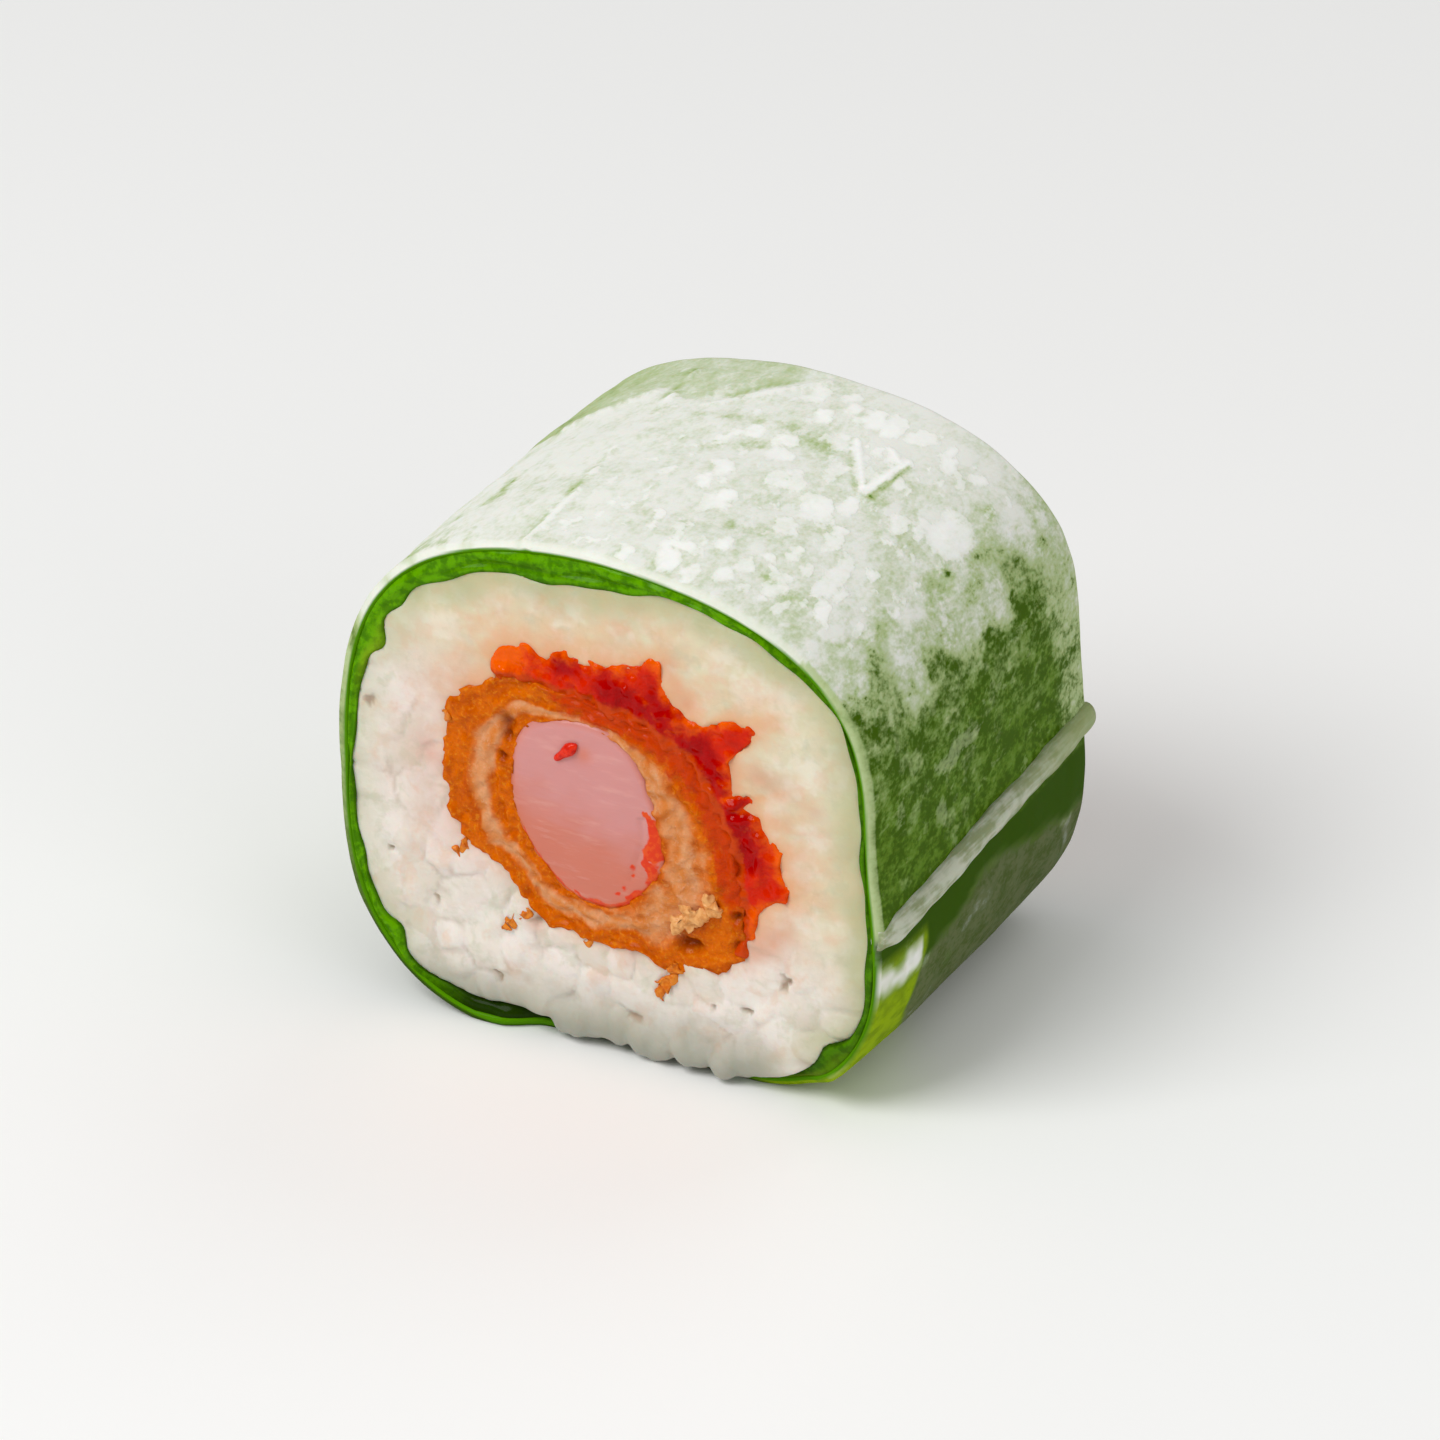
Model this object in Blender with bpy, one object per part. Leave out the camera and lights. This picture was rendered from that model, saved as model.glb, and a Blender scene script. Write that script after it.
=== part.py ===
"""One cut piece of a shrimp tempura roll: rice paper, lettuce, rice, chilli sauce, batter and shrimp.

Metres, +Z up. The roll lies on its flattened underside with its axis along Y. The cut face that shows
the filling best looks along -Y, and the free edge of the rice paper runs along the +X side.
"""

import math
import random

import bmesh
import bpy
from mathutils import Matrix, Vector

MM = 0.001

# The whole piece, in millimetres
LENGTH = 35.5
CENTRE_Z = 19.2
MEAN_RADIUS = 21.35
BARREL = 0.018
# The squashed, rounded square that the wrap makes: (waves per turn, height in mm, angle of the crest)
WRAP_WAVES = (
    (1, 0.55, -80.0),
    (2, 1.11, -29.2),
    (3, 0.51, -84.4),
    (4, 1.33, -171.8),
    (5, 0.34, 136.3),
    (6, 0.19, 143.8),
)
GAP = 0.3

# Rice paper: two layers thick, and one layer below its free edge
PAPER_THICKNESS = 0.6
PAPER_LAYER = 0.25
PAPER_RIPPLE = 0.12
EDGE_FRONT_ANGLE = -12.5
EDGE_BACK_ANGLE = -8.0
EDGE_HEIGHT = 0.95
EDGE_SPREAD = 2.1
EDGE_STEP_FADE = 34.0

# Lettuce: a single leaf, thicker where its rim is folded: (angle, extra mm, spread in degrees)
LEAF_THICKNESS = 0.4
LEAF_FOLDS = (
    (104.0, 1.5, 16.0),
    (44.0, 0.75, 25.0),
    (-18.0, 0.35, 9.0),
    (150.0, 0.6, 8.0),
    (-110.0, 0.55, 8.0),
    (-44.0, 0.3, 10.0),
)

# Filling, measured about its own centres
FILLING_X = -1.4
FILLING_Z = 17.4
BATTER_RADIUS = 10.0
BATTER_WAVES = ((1, 1.05, 76.0), (2, 1.80, -52.0), (4, 0.60, -105.0))
BATTER_CRAG = 0.38
SHRIMP_X = -0.7
SHRIMP_Z = 18.1
SHRIMP_RADIUS = 6.3
SHRIMP_WAVES = ((1, 0.84, 139.0), (2, 0.90, -128.0), (4, 0.20, -67.0))
SAUCE_THICKNESS = 2.7
SAUCE_FROM = -30.0
SAUCE_TO = 126.0
SAUCE_TAPER = 22.0
SAUCE_LEAST = 0.25
# Lumps of sauce that push into the rice: (angle, height in mm, spread in degrees)
SAUCE_LUMPS = ((42.0, 3.2, 4.8), (-3.0, 1.6, 7.0), (71.0, 1.8, 4.8), (116.0, 1.2, 7.0))

# Cooked rice grains
GRAIN_LENGTH = 5.4
GRAIN_WIDTH = 2.8
GRAIN_HEIGHT = 2.3
GRAIN_SPACING = 2.3
GRAIN_CLEARANCE = 0.1
GRAIN_TRIES = 6000
RICE_SINK = 0.55
RICE_SHOULDER = 0.5
# Grains that spill over the wrap's lower edge, from one x to another, and how far its edge is drawn back
SPILL_FROM = -1.9
SPILL_TO = 11.6
SPILL_STEP = 2.7
SPILL_REACH = 0.55
SPILL_RECESS = 1.6
SPILL_ANGLE = -77.0
SPILL_SPREAD = 27.0
SPILL_FADE = 9.0
FLOOR_CLEARANCE = 0.2

# How finely each piece is divided
PAPER_SIDES = 66
LEAF_SIDES = 60
FILLING_SIDES = 60
SHRIMP_SIDES = 40
PAPER_STATIONS = (-1.0, -0.92, -0.8, -0.4, 0.0, 0.4, 0.8, 0.92, 1.0)
FILLING_STATIONS = (-1.0, -0.8, 0.0, 0.8, 1.0)
RICE_STATIONS = (-1.0, -0.93, -0.8, 0.0, 0.8, 0.93, 1.0)
GRAIN_SEGMENTS = 6
GRAIN_RINGS = 4

RED_VEIN = ((-3.8, 22.4), (-2.0, 24.1))
RED_VEIN_RADIUS = 0.42
CRUMBS = ((6.7, 12.6, 0.95), (8.4, 13.8, 0.65))
CRUMB_SIDES = 6

COLOURS = {
    "rice_paper": ((0.80, 0.84, 0.76, 1.0), 0.35),
    "lettuce": ((0.13, 0.30, 0.02, 1.0), 0.45),
    "rice": ((0.80, 0.76, 0.66, 1.0), 0.45),
    "sauce": ((0.62, 0.03, 0.005, 1.0), 0.25),
    "batter": ((0.62, 0.22, 0.03, 1.0), 0.6),
    "shrimp": ((0.72, 0.32, 0.28, 1.0), 0.3),
}


def waves(base, crests, degrees):
    """A radius that swells in the given number of waves per turn."""
    return base + sum(h * math.cos(math.radians(k * degrees - at)) for k, h, at in crests)


def turned(degrees, centre):
    """The signed angle from centre to degrees, between -180 and 180."""
    return (degrees - centre + 180.0) % 360.0 - 180.0


def bump(degrees, centre, spread):
    """A smooth hump of height 1 at the centre angle."""
    return math.exp(-0.5 * (turned(degrees, centre) / spread) ** 2)


def smooth(low, high, value):
    """0 up to low, 1 from high on, and a smooth rise between."""
    t = min(1.0, max(0.0, (value - low) / (high - low)))
    return t * t * (3.0 - 2.0 * t)


def mixed(a, b, share):
    """The value a given share of the way from a to b."""
    return a + (b - a) * share


def wrap_radius(degrees, along):
    """The wrap's radius at an angle, for along from -1 at the front cut to 1 at the back cut."""
    return waves(MEAN_RADIUS, WRAP_WAVES, degrees) * (1.0 + BARREL * (1.0 - along**4))


def below_wrap(degrees, along, depth):
    """(x, z) of a point at that depth under the wrap's surface, on the flat underside too."""
    radius = wrap_radius(degrees, along) - depth
    x = radius * math.cos(math.radians(degrees))
    z = CENTRE_Z + radius * math.sin(math.radians(degrees))
    return x, max(z, depth)


def end_of_wrap(degrees, along):
    """The wrap's y there. Its cut edge is drawn back under the rice that spills at the bottom."""
    spill = smooth(SPILL_SPREAD + SPILL_FADE, SPILL_SPREAD, abs(turned(degrees, SPILL_ANGLE)))
    return along * (LENGTH / 2.0 - SPILL_RECESS * spill)


def free_edge_angle(along):
    """Where the free edge of the rice paper lies. It turns down near the front."""
    return mixed(EDGE_BACK_ANGLE, EDGE_FRONT_ANGLE, ((1.0 - along) / 2.0) ** 2)


def paper_rise(degrees, along):
    """How far the paper's outer face stands over the even wrap: its rolled free edge, step and ripples."""
    off = turned(degrees, free_edge_angle(along))
    edge = EDGE_HEIGHT * math.exp(-0.5 * (off / EDGE_SPREAD) ** 2)
    step = PAPER_LAYER * smooth(0.0, -2.5, off) * smooth(-EDGE_STEP_FADE, -EDGE_STEP_FADE / 2.0, off)
    y = along * LENGTH / 2.0
    turn = math.radians(degrees)
    ripple = math.sin(7.0 * turn + 0.21 * y) * math.cos(3.0 * turn + 0.33 * y)
    off_floor = smooth(1.0, 6.0, below_wrap(degrees, along, 0.0)[1])
    return edge - step + PAPER_RIPPLE * ripple * off_floor


def leaf_thickness(degrees):
    """The lettuce's thickness, with its folded rims."""
    return LEAF_THICKNESS + sum(extra * bump(degrees, at, spread) for at, extra, spread in LEAF_FOLDS)


def leaf_depth():
    """How deep the lettuce's outer face lies under the wrap's surface."""
    return PAPER_THICKNESS + GAP


def rice_depth(degrees):
    """How deep the rice's outer face lies under the wrap's surface."""
    return leaf_depth() + leaf_thickness(degrees) + GAP


def about(centre_x, centre_z, radius, degrees):
    """(x, z) at that radius and angle about a centre."""
    angle = math.radians(degrees)
    return centre_x + radius * math.cos(angle), centre_z + radius * math.sin(angle)


def batter_radius(degrees, along):
    """The craggy outside of the batter, about the filling's centre."""
    turn = math.radians(degrees)
    crag = 0.6 * math.sin(7.0 * turn + 2.0 * along) + 0.4 * math.sin(13.0 * turn - 3.1 * along + 1.3)
    return waves(BATTER_RADIUS, BATTER_WAVES, degrees) + BATTER_CRAG * crag


def shrimp_radius(degrees):
    """The shrimp's outline, about its own centre."""
    return waves(SHRIMP_RADIUS, SHRIMP_WAVES, degrees)


def sauce_thickness(degrees):
    """The sauce's thickness on the batter, within its span."""
    off = abs(turned(degrees, (SAUCE_FROM + SAUCE_TO) / 2.0))
    half = (SAUCE_TO - SAUCE_FROM) / 2.0
    body = SAUCE_LEAST + SAUCE_THICKNESS * smooth(half, half - SAUCE_TAPER, off)
    lumps = sum(height * bump(degrees, at, spread) for at, height, spread in SAUCE_LUMPS)
    return body + lumps * smooth(half, half - 6.0, off)


def in_sauce_span(degrees):
    """True where the batter has sauce on it."""
    return abs(turned(degrees, (SAUCE_FROM + SAUCE_TO) / 2.0)) <= (SAUCE_TO - SAUCE_FROM) / 2.0 + 0.01


def filling_radius(degrees, along):
    """The outside of the batter with its sauce, about the filling's centre."""
    sauce = GAP + sauce_thickness(degrees) if in_sauce_span(degrees) else 0.0
    return batter_radius(degrees, along) + sauce


def hole_radius(degrees, along):
    """The rice's inner wall, which keeps clear of the filling however steeply that rises."""
    step = 360.0 / FILLING_SIDES
    here = filling_radius(degrees, along)
    beside = max(abs(filling_radius(degrees + turn, along) - here) for turn in (-step, step))
    return here + GAP * math.hypot(1.0, beside / (here * math.radians(step)))


def sides(count):
    """Equal steps once round, in degrees."""
    return [360.0 * i / count for i in range(count)]


def sides_round_edge(along):
    """Steps once round the paper, close together across its free edge."""
    fine = (-6.5, -4.8, -3.4, -2.2, -1.1, 0.0, 1.1, 2.2, 3.4, 4.8, 6.5)
    wide = PAPER_SIDES - len(fine) + 1
    rest = 360.0 - 2.0 * fine[-1]
    angles = list(fine) + [fine[-1] + rest * i / wide for i in range(1, wide)]
    return [free_edge_angle(along) + a for a in angles]


def new_mesh(name, rings, closed_along=False, poles=(None, None)):
    """A solid skinned over rings of (x, y, z) points in mm, one after another along its surface.

    With closed_along the last ring joins the first. Otherwise each pole, a point, closes one end.
    """
    bm = bmesh.new()
    loops = [[bm.verts.new(Vector(p) * MM) for p in ring] for ring in rings]
    pairs = list(zip(loops, loops[1:]))
    if closed_along:
        pairs.append((loops[-1], loops[0]))
    count = len(loops[0])
    for near, far in pairs:
        for i in range(count):
            j = (i + 1) % count
            bm.faces.new((near[i], near[j], far[j], far[i]))
    for pole, loop in zip(poles, (loops[0], loops[-1])):
        if pole is not None:
            tip = bm.verts.new(Vector(pole) * MM)
            for i in range(count):
                bm.faces.new((loop[i], loop[(i + 1) % count], tip))
    return finished(name, bm)


def finished(name, bm):
    """Turns a bmesh into a named object with its faces pointing out and its own material."""
    bmesh.ops.recalc_face_normals(bm, faces=bm.faces)
    mesh = bpy.data.meshes.new(name)
    bm.to_mesh(mesh)
    bm.free()
    mesh.shade_smooth()
    mesh.set_sharp_from_angle(angle=math.radians(40.0))
    obj = bpy.data.objects.new(name, mesh)
    bpy.context.scene.collection.objects.link(obj)
    return obj


def paint(obj):
    """Gives an object the plain material of its food."""
    colour, roughness = COLOURS[obj.name]
    material = bpy.data.materials.new(obj.name)
    material.use_nodes = True
    shader = material.node_tree.nodes["Principled BSDF"]
    shader.inputs["Base Color"].default_value = colour
    shader.inputs["Roughness"].default_value = roughness
    shader.inputs["Metallic"].default_value = 0.0
    obj.data.materials.clear()
    obj.data.materials.append(material)


def between(inner, outer, share, y, relief):
    """A ring of points that share of the way from the inner ring to the outer one, on the cut face."""
    points = []
    for (xi, _, zi), (xo, _, zo) in zip(inner, outer):
        x, z = mixed(xi, xo, share), mixed(zi, zo, share)
        points.append((x, y + math.copysign(relief(x, z), y), z))
    return points


def sleeve(name, outer, inner, stations, rows=(), relief=lambda x, z: 0.0):
    """A tube of food from one cut face to the other.

    outer and inner give a ring of points for a place along the roll. rows are the rings on each cut
    face, as shares of the way from the inner wall to the outer one.
    """
    outside = [outer(s) for s in stations]
    inside = [inner(s) for s in stations]
    front, back = outside[0][0][1], outside[-1][0][1]
    rings = list(outside)
    rings += [between(inside[-1], outside[-1], t, back, relief) for t in reversed(rows)]
    rings += list(reversed(inside))
    rings += [between(inside[0], outside[0], t, front, relief) for t in rows]
    return new_mesh(name, rings, closed_along=True)


def make_rice_paper():
    """The damp rice paper round the whole piece, with its free edge rolled along one side."""

    def outer(along):
        ring = []
        for degrees in sides_round_edge(along):
            x, z = below_wrap(degrees, along, -paper_rise(degrees, along))
            ring.append((x, end_of_wrap(degrees, along), max(z, 0.0)))
        return ring

    def inner(along):
        ring = []
        for degrees in sides_round_edge(along):
            x, z = below_wrap(degrees, along, PAPER_THICKNESS)
            ring.append((x, end_of_wrap(degrees, along), z))
        return ring

    return sleeve("rice_paper", outer, inner, PAPER_STATIONS)


def make_lettuce():
    """The lettuce leaf between the rice paper and the rice."""

    def face(along, depth_of):
        ring = []
        for degrees in sides(LEAF_SIDES):
            x, z = below_wrap(degrees, along, depth_of(degrees))
            ring.append((x, end_of_wrap(degrees, along), z))
        return ring

    def outer(along):
        return face(along, lambda degrees: leaf_depth())

    def inner(along):
        return face(along, lambda degrees: leaf_depth() + leaf_thickness(degrees))

    return sleeve("lettuce", outer, inner, FILLING_STATIONS)


def in_rice(x, z, along):
    """True if a point lies in the rice's ring, clear of both of its walls."""
    degrees = math.degrees(math.atan2(z - CENTRE_Z, x))
    depth = rice_depth(degrees) + GRAIN_CLEARANCE
    inside_leaf = math.hypot(x, z - CENTRE_Z) < wrap_radius(degrees, along) - depth and z > depth
    degrees = math.degrees(math.atan2(z - FILLING_Z, x - FILLING_X))
    radius = math.hypot(x - FILLING_X, z - FILLING_Z)
    return inside_leaf and radius > hole_radius(degrees, along) + GRAIN_CLEARANCE


def grain_fits(x, z, lie, along):
    """True if the outline of a grain there lies in the rice's ring."""
    for turn in range(0, 360, 30):
        out = 0.5 * GRAIN_LENGTH * math.cos(math.radians(turn))
        across = 0.5 * GRAIN_WIDTH * math.sin(math.radians(turn))
        px = x + out * math.cos(lie) - across * math.sin(lie)
        pz = z + out * math.sin(lie) + across * math.cos(lie)
        if not in_rice(px, pz, along):
            return False
    return True


def grain_places(along, draw):
    """Where grains lie on one cut face: (x, z, direction in the face), evenly spread by seeded draws."""
    places = []
    for _ in range(GRAIN_TRIES):
        x = draw.uniform(-1.0, 1.0) * MEAN_RADIUS
        z = draw.uniform(0.0, 2.0) * CENTRE_Z
        if any(math.hypot(x - px, z - pz) < GRAIN_SPACING for px, pz, _ in places):
            continue
        lie = math.atan2(z - CENTRE_Z, x) + math.pi / 2.0 + draw.gauss(0.0, 0.5)
        if grain_fits(x, z, lie, along):
            places.append((x, z, lie))
    return places


def new_grain(centre, lie, tilt, size):
    """One ellipsoid grain of rice, its length turned in the cut face by lie and out of it by tilt."""
    bm = bmesh.new()
    bmesh.ops.create_uvsphere(bm, u_segments=GRAIN_SEGMENTS, v_segments=GRAIN_RINGS, radius=0.5)
    length, width, height = size
    stretch = Matrix.Diagonal((height * MM, width * MM, length * MM, 1.0))
    upright = Matrix.Rotation(math.pi / 2.0, 4, "Y")
    turn = Matrix.Rotation(-lie, 4, "Y") @ Matrix.Rotation(tilt, 4, "Z") @ upright
    bm.transform(Matrix.Translation(Vector(centre) * MM) @ turn @ stretch)
    return finished("grain", bm)


def scatter_grains():
    """The grains that show: those of both cut faces, and the ones that spill over the wrap's lower edge."""
    draw = random.Random(11)
    grains = []
    for along in (-1.0, 1.0):
        for x, z, lie in grain_places(along, draw):
            y = along * (LENGTH / 2.0 - draw.uniform(0.75, 1.0))
            size = (GRAIN_LENGTH * draw.uniform(0.85, 1.1), GRAIN_WIDTH, GRAIN_HEIGHT)
            grains.append(new_grain((x, y, z), lie, draw.uniform(-0.25, 0.25), size))
        for step in range(round((SPILL_TO - SPILL_FROM) / SPILL_STEP) + 1):
            x = SPILL_FROM + SPILL_STEP * step + draw.uniform(-0.3, 0.3)
            z = FLOOR_CLEARANCE + 0.62 * GRAIN_WIDTH + draw.uniform(0.0, 0.35)
            y = along * (LENGTH / 2.0 + SPILL_REACH - draw.uniform(0.5, 0.75))
            lie = draw.uniform(0.5, 1.1) * draw.choice((-1.0, 1.0))
            size = (0.8 * GRAIN_LENGTH, GRAIN_HEIGHT, GRAIN_HEIGHT)
            grains.append(new_grain((x, y, z + 0.55), lie, draw.uniform(-0.2, 0.2), size))
    return grains


def make_rice():
    """The bed of pressed rice: a core with a sunk face at each cut, and the grains that show fused to it."""

    def end(along):
        return along * (LENGTH / 2.0 - RICE_SINK)

    def outer(along):
        ring = []
        shoulder = RICE_SHOULDER * smooth(RICE_STATIONS[-2], 1.0, abs(along))
        for degrees in sides(FILLING_SIDES):
            x, z = below_wrap(degrees, along, rice_depth(degrees) + shoulder)
            ring.append((x, end(along), z))
        return ring

    def inner(along):
        return [
            (x, end(along), z)
            for x, z in (about(FILLING_X, FILLING_Z, hole_radius(a, along), a) for a in sides(FILLING_SIDES))
        ]

    core = sleeve("rice", outer, inner, RICE_STATIONS)
    fuse(core, scatter_grains())
    return core


def fuse(core, grains):
    """Joins grains to their core by one Boolean union, applied, and removes the loose copies."""
    loose = bpy.data.collections.new("grains")
    bpy.context.scene.collection.children.link(loose)
    for grain in grains:
        bpy.context.scene.collection.objects.unlink(grain)
        loose.objects.link(grain)
    union = core.modifiers.new("union", "BOOLEAN")
    union.operation = "UNION"
    union.operand_type = "COLLECTION"
    union.collection = loose
    union.solver = "EXACT"
    bpy.context.view_layer.update()
    joined = bpy.data.meshes.new_from_object(core.evaluated_get(bpy.context.evaluated_depsgraph_get()))
    core.modifiers.remove(union)
    core.data = joined
    keep_outer_skin(joined)
    for grain in grains:
        bpy.data.objects.remove(grain)
    bpy.data.collections.remove(loose)


def keep_outer_skin(mesh):
    """Keeps the largest connected skin, so hollows between grains are filled and loose scraps go."""
    bm = bmesh.new()
    bm.from_mesh(mesh)
    skins = []
    left = set(bm.faces)
    while left:
        skin, edge_of_skin = set(), [left.pop()]
        while edge_of_skin:
            face = edge_of_skin.pop()
            skin.add(face)
            near = {other for edge in face.edges for other in edge.link_faces} & left
            left -= near
            edge_of_skin.extend(near)
        skins.append(skin)
    largest = max(skins, key=len)
    bmesh.ops.delete(bm, geom=[face for face in bm.faces if face not in largest], context="FACES")
    bm.to_mesh(mesh)
    bm.free()


def make_batter():
    """The fried batter round the shrimp: an airy layer with a craggy crust, rough where it is cut."""

    def outer(along):
        places = (about(FILLING_X, FILLING_Z, batter_radius(a, along), a) for a in sides(FILLING_SIDES))
        return [(x, along * LENGTH / 2.0, z) for x, z in places]

    def inner(along):
        places = (about(SHRIMP_X, SHRIMP_Z, shrimp_radius(a) + GAP, a) for a in sides(FILLING_SIDES))
        return [(x, along * LENGTH / 2.0, z) for x, z in places]

    def relief(x, z):
        return 0.22 * math.sin(2.3 * x + 1.1 * z) * math.cos(1.7 * z - 0.8 * x) - 0.1

    batter = sleeve("batter", outer, inner, FILLING_STATIONS, rows=(0.34, 0.67), relief=relief)
    crumbs = []
    for x, z, radius in CRUMBS:
        bm = bmesh.new()
        bmesh.ops.create_uvsphere(bm, u_segments=CRUMB_SIDES, v_segments=GRAIN_RINGS, radius=radius * MM)
        bm.transform(Matrix.Translation(Vector((x, -LENGTH / 2.0, z)) * MM))
        crumbs.append(finished("crumb", bm))
    fuse(batter, crumbs)
    return batter


def make_sauce():
    """The chilli sauce: a lumpy crescent on the upper right of the batter, from cut to cut."""
    count = FILLING_SIDES
    angles = [a for a in sorted(turned(s, 45.0) + 45.0 for s in sides(count)) if SAUCE_FROM <= a <= SAUCE_TO]

    def column(degrees):
        outside, inside = [], []
        for along in FILLING_STATIONS:
            base = batter_radius(degrees, along) + GAP
            y = along * LENGTH / 2.0
            for wall, radius in ((inside, base), (outside, base + sauce_thickness(degrees))):
                x, z = about(FILLING_X, FILLING_Z, radius, degrees)
                wall.append((x, y, z))
        crests = []
        for wall_end in (-1, 0):
            (xi, y, zi), (xo, _, zo) = inside[wall_end], outside[wall_end]
            swell = 0.25 + 0.2 * math.sin(math.radians(11.0 * degrees))
            crests.append(((xi + xo) / 2.0, y + math.copysign(swell, y), (zi + zo) / 2.0))
        return outside + [crests[0]] + inside[::-1] + [crests[1]]

    columns = [column(degrees) for degrees in angles]
    bm = bmesh.new()
    loops = [[bm.verts.new(Vector(p) * MM) for p in points] for points in columns]
    size = len(loops[0])
    for near, far in zip(loops, loops[1:]):
        for i in range(size):
            j = (i + 1) % size
            bm.faces.new((near[i], near[j], far[j], far[i]))
    last = len(FILLING_STATIONS) - 1
    for tip in (loops[0], loops[-1]):
        outside, inside = tip[: last + 1], tip[last + 2 : 2 * last + 3][::-1]
        for s in range(last):
            bm.faces.new((outside[s], outside[s + 1], inside[s + 1], inside[s]))
        bm.faces.new((outside[last], tip[last + 1], inside[last]))
        bm.faces.new((outside[0], inside[0], tip[-1]))
    return finished("sauce", bm)


def make_shrimp():
    """The shrimp's tail meat, cut across, with the red vein that shows on its front cut."""

    def ring(along, share, swell):
        y = along * LENGTH / 2.0
        places = (about(SHRIMP_X, SHRIMP_Z, share * shrimp_radius(a), a) for a in sides(SHRIMP_SIDES))
        return [(x, y + math.copysign(swell, along), z) for x, z in places]

    cut_rows = ((1.0, 0.0), (0.9, 0.18), (0.45, 0.32))
    rings = [ring(-1.0, share, swell) for share, swell in reversed(cut_rows)]
    rings.append(ring(0.0, 1.0, 0.0))
    rings += [ring(1.0, share, swell) for share, swell in cut_rows]
    poles = [(SHRIMP_X, along * (LENGTH / 2.0 + 0.36), SHRIMP_Z) for along in (-1.0, 1.0)]
    shrimp = new_mesh("shrimp", rings, poles=poles)
    (x0, z0), (x1, z1) = RED_VEIN
    centre = ((x0 + x1) / 2.0, -LENGTH / 2.0 - 0.2, (z0 + z1) / 2.0)
    lie = math.atan2(z1 - z0, x1 - x0)
    length = math.hypot(x1 - x0, z1 - z0)
    vein = new_grain(centre, lie, 0.0, (length, 2.0 * RED_VEIN_RADIUS, 2.0 * RED_VEIN_RADIUS))
    fuse(shrimp, [vein])
    return shrimp


def centre_in_plan(objects):
    """Moves the meshes so that the origin lies under the middle of the whole piece."""
    points = [vertex.co for obj in objects for vertex in obj.data.vertices]
    middle = [(min(p[i] for p in points) + max(p[i] for p in points)) / 2.0 for i in (0, 1)]
    for obj in objects:
        obj.data.transform(Matrix.Translation((-middle[0], -middle[1], 0.0)))


def main():
    """Clears the scene and builds the six layers, outermost first."""
    for obj in list(bpy.data.objects):
        bpy.data.objects.remove(obj)
    makers = (make_rice_paper, make_lettuce, make_rice, make_sauce, make_batter, make_shrimp)
    layers = [make() for make in makers]
    for layer in layers:
        paint(layer)
    centre_in_plan(layers)


main()
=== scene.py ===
"""The looks of one cut piece of a shrimp tempura roll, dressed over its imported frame.

Lengths are millimetres about the roll's own axis until a mesh is written, and angles are degrees round
that axis, from the right-hand side (+X) up over the top. Along runs from -1 at the shown cut face to 1 at
the other one.
"""

import logging
import math
from collections.abc import Callable, Iterator, Sequence
from contextlib import contextmanager
from dataclasses import dataclass
from enum import Enum

import bpy
import numpy as np
from mathutils import Matrix, Vector, noise


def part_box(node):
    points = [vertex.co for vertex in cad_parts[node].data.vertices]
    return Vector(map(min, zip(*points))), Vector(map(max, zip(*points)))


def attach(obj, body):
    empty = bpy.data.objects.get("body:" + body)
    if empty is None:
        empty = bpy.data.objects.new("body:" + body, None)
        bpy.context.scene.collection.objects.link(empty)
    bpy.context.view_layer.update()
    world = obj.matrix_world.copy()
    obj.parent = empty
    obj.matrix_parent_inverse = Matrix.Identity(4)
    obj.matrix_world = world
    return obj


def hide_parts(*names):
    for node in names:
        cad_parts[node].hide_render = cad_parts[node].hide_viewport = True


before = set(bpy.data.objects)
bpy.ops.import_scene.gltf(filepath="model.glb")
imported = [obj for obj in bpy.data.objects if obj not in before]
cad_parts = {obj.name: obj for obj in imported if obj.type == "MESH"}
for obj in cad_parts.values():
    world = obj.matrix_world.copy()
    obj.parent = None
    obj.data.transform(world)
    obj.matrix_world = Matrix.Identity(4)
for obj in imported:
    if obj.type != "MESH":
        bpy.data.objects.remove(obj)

log = logging.getLogger("roll")

MM = 0.001
BODY = "root"
HIDDEN_DEPTH = 4.0
HIDDEN_SHARE = 0.5
Values = np.ndarray
Triple = tuple[float, float, float]
Place = Callable[[Values, Values, Values], tuple[Values, Values, Values]]


def smooth(low: float, high: float, value: Values) -> Values:
    """Rises smoothly from 0 at low to 1 at high. For a fall, low is the larger one."""
    share = np.clip((np.asarray(value, float) - low) / (high - low), 0.0, 1.0)
    return share * share * (3.0 - 2.0 * share)


def turned(degrees: Values, centre: float) -> Values:
    """Returns the signed angles from centre to degrees, between -180 and 180."""
    return (np.asarray(degrees, float) - centre + 180.0) % 360.0 - 180.0


def bump(degrees: Values, centre: float, spread: float) -> Values:
    """Returns a smooth hump of height 1 at the centre angle."""
    return np.exp(-0.5 * (turned(degrees, centre) / spread) ** 2)


def rough(points: Values, size: float, seed: int = 0) -> Values:
    """Returns soft noise between about -1 and 1 at points, with lumps of a size in mm."""
    offset = Vector((17.3 * seed, -9.1 * seed, 5.7 * seed))
    return np.array([noise.noise(Vector(point) / size + offset) for point in points])


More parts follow.
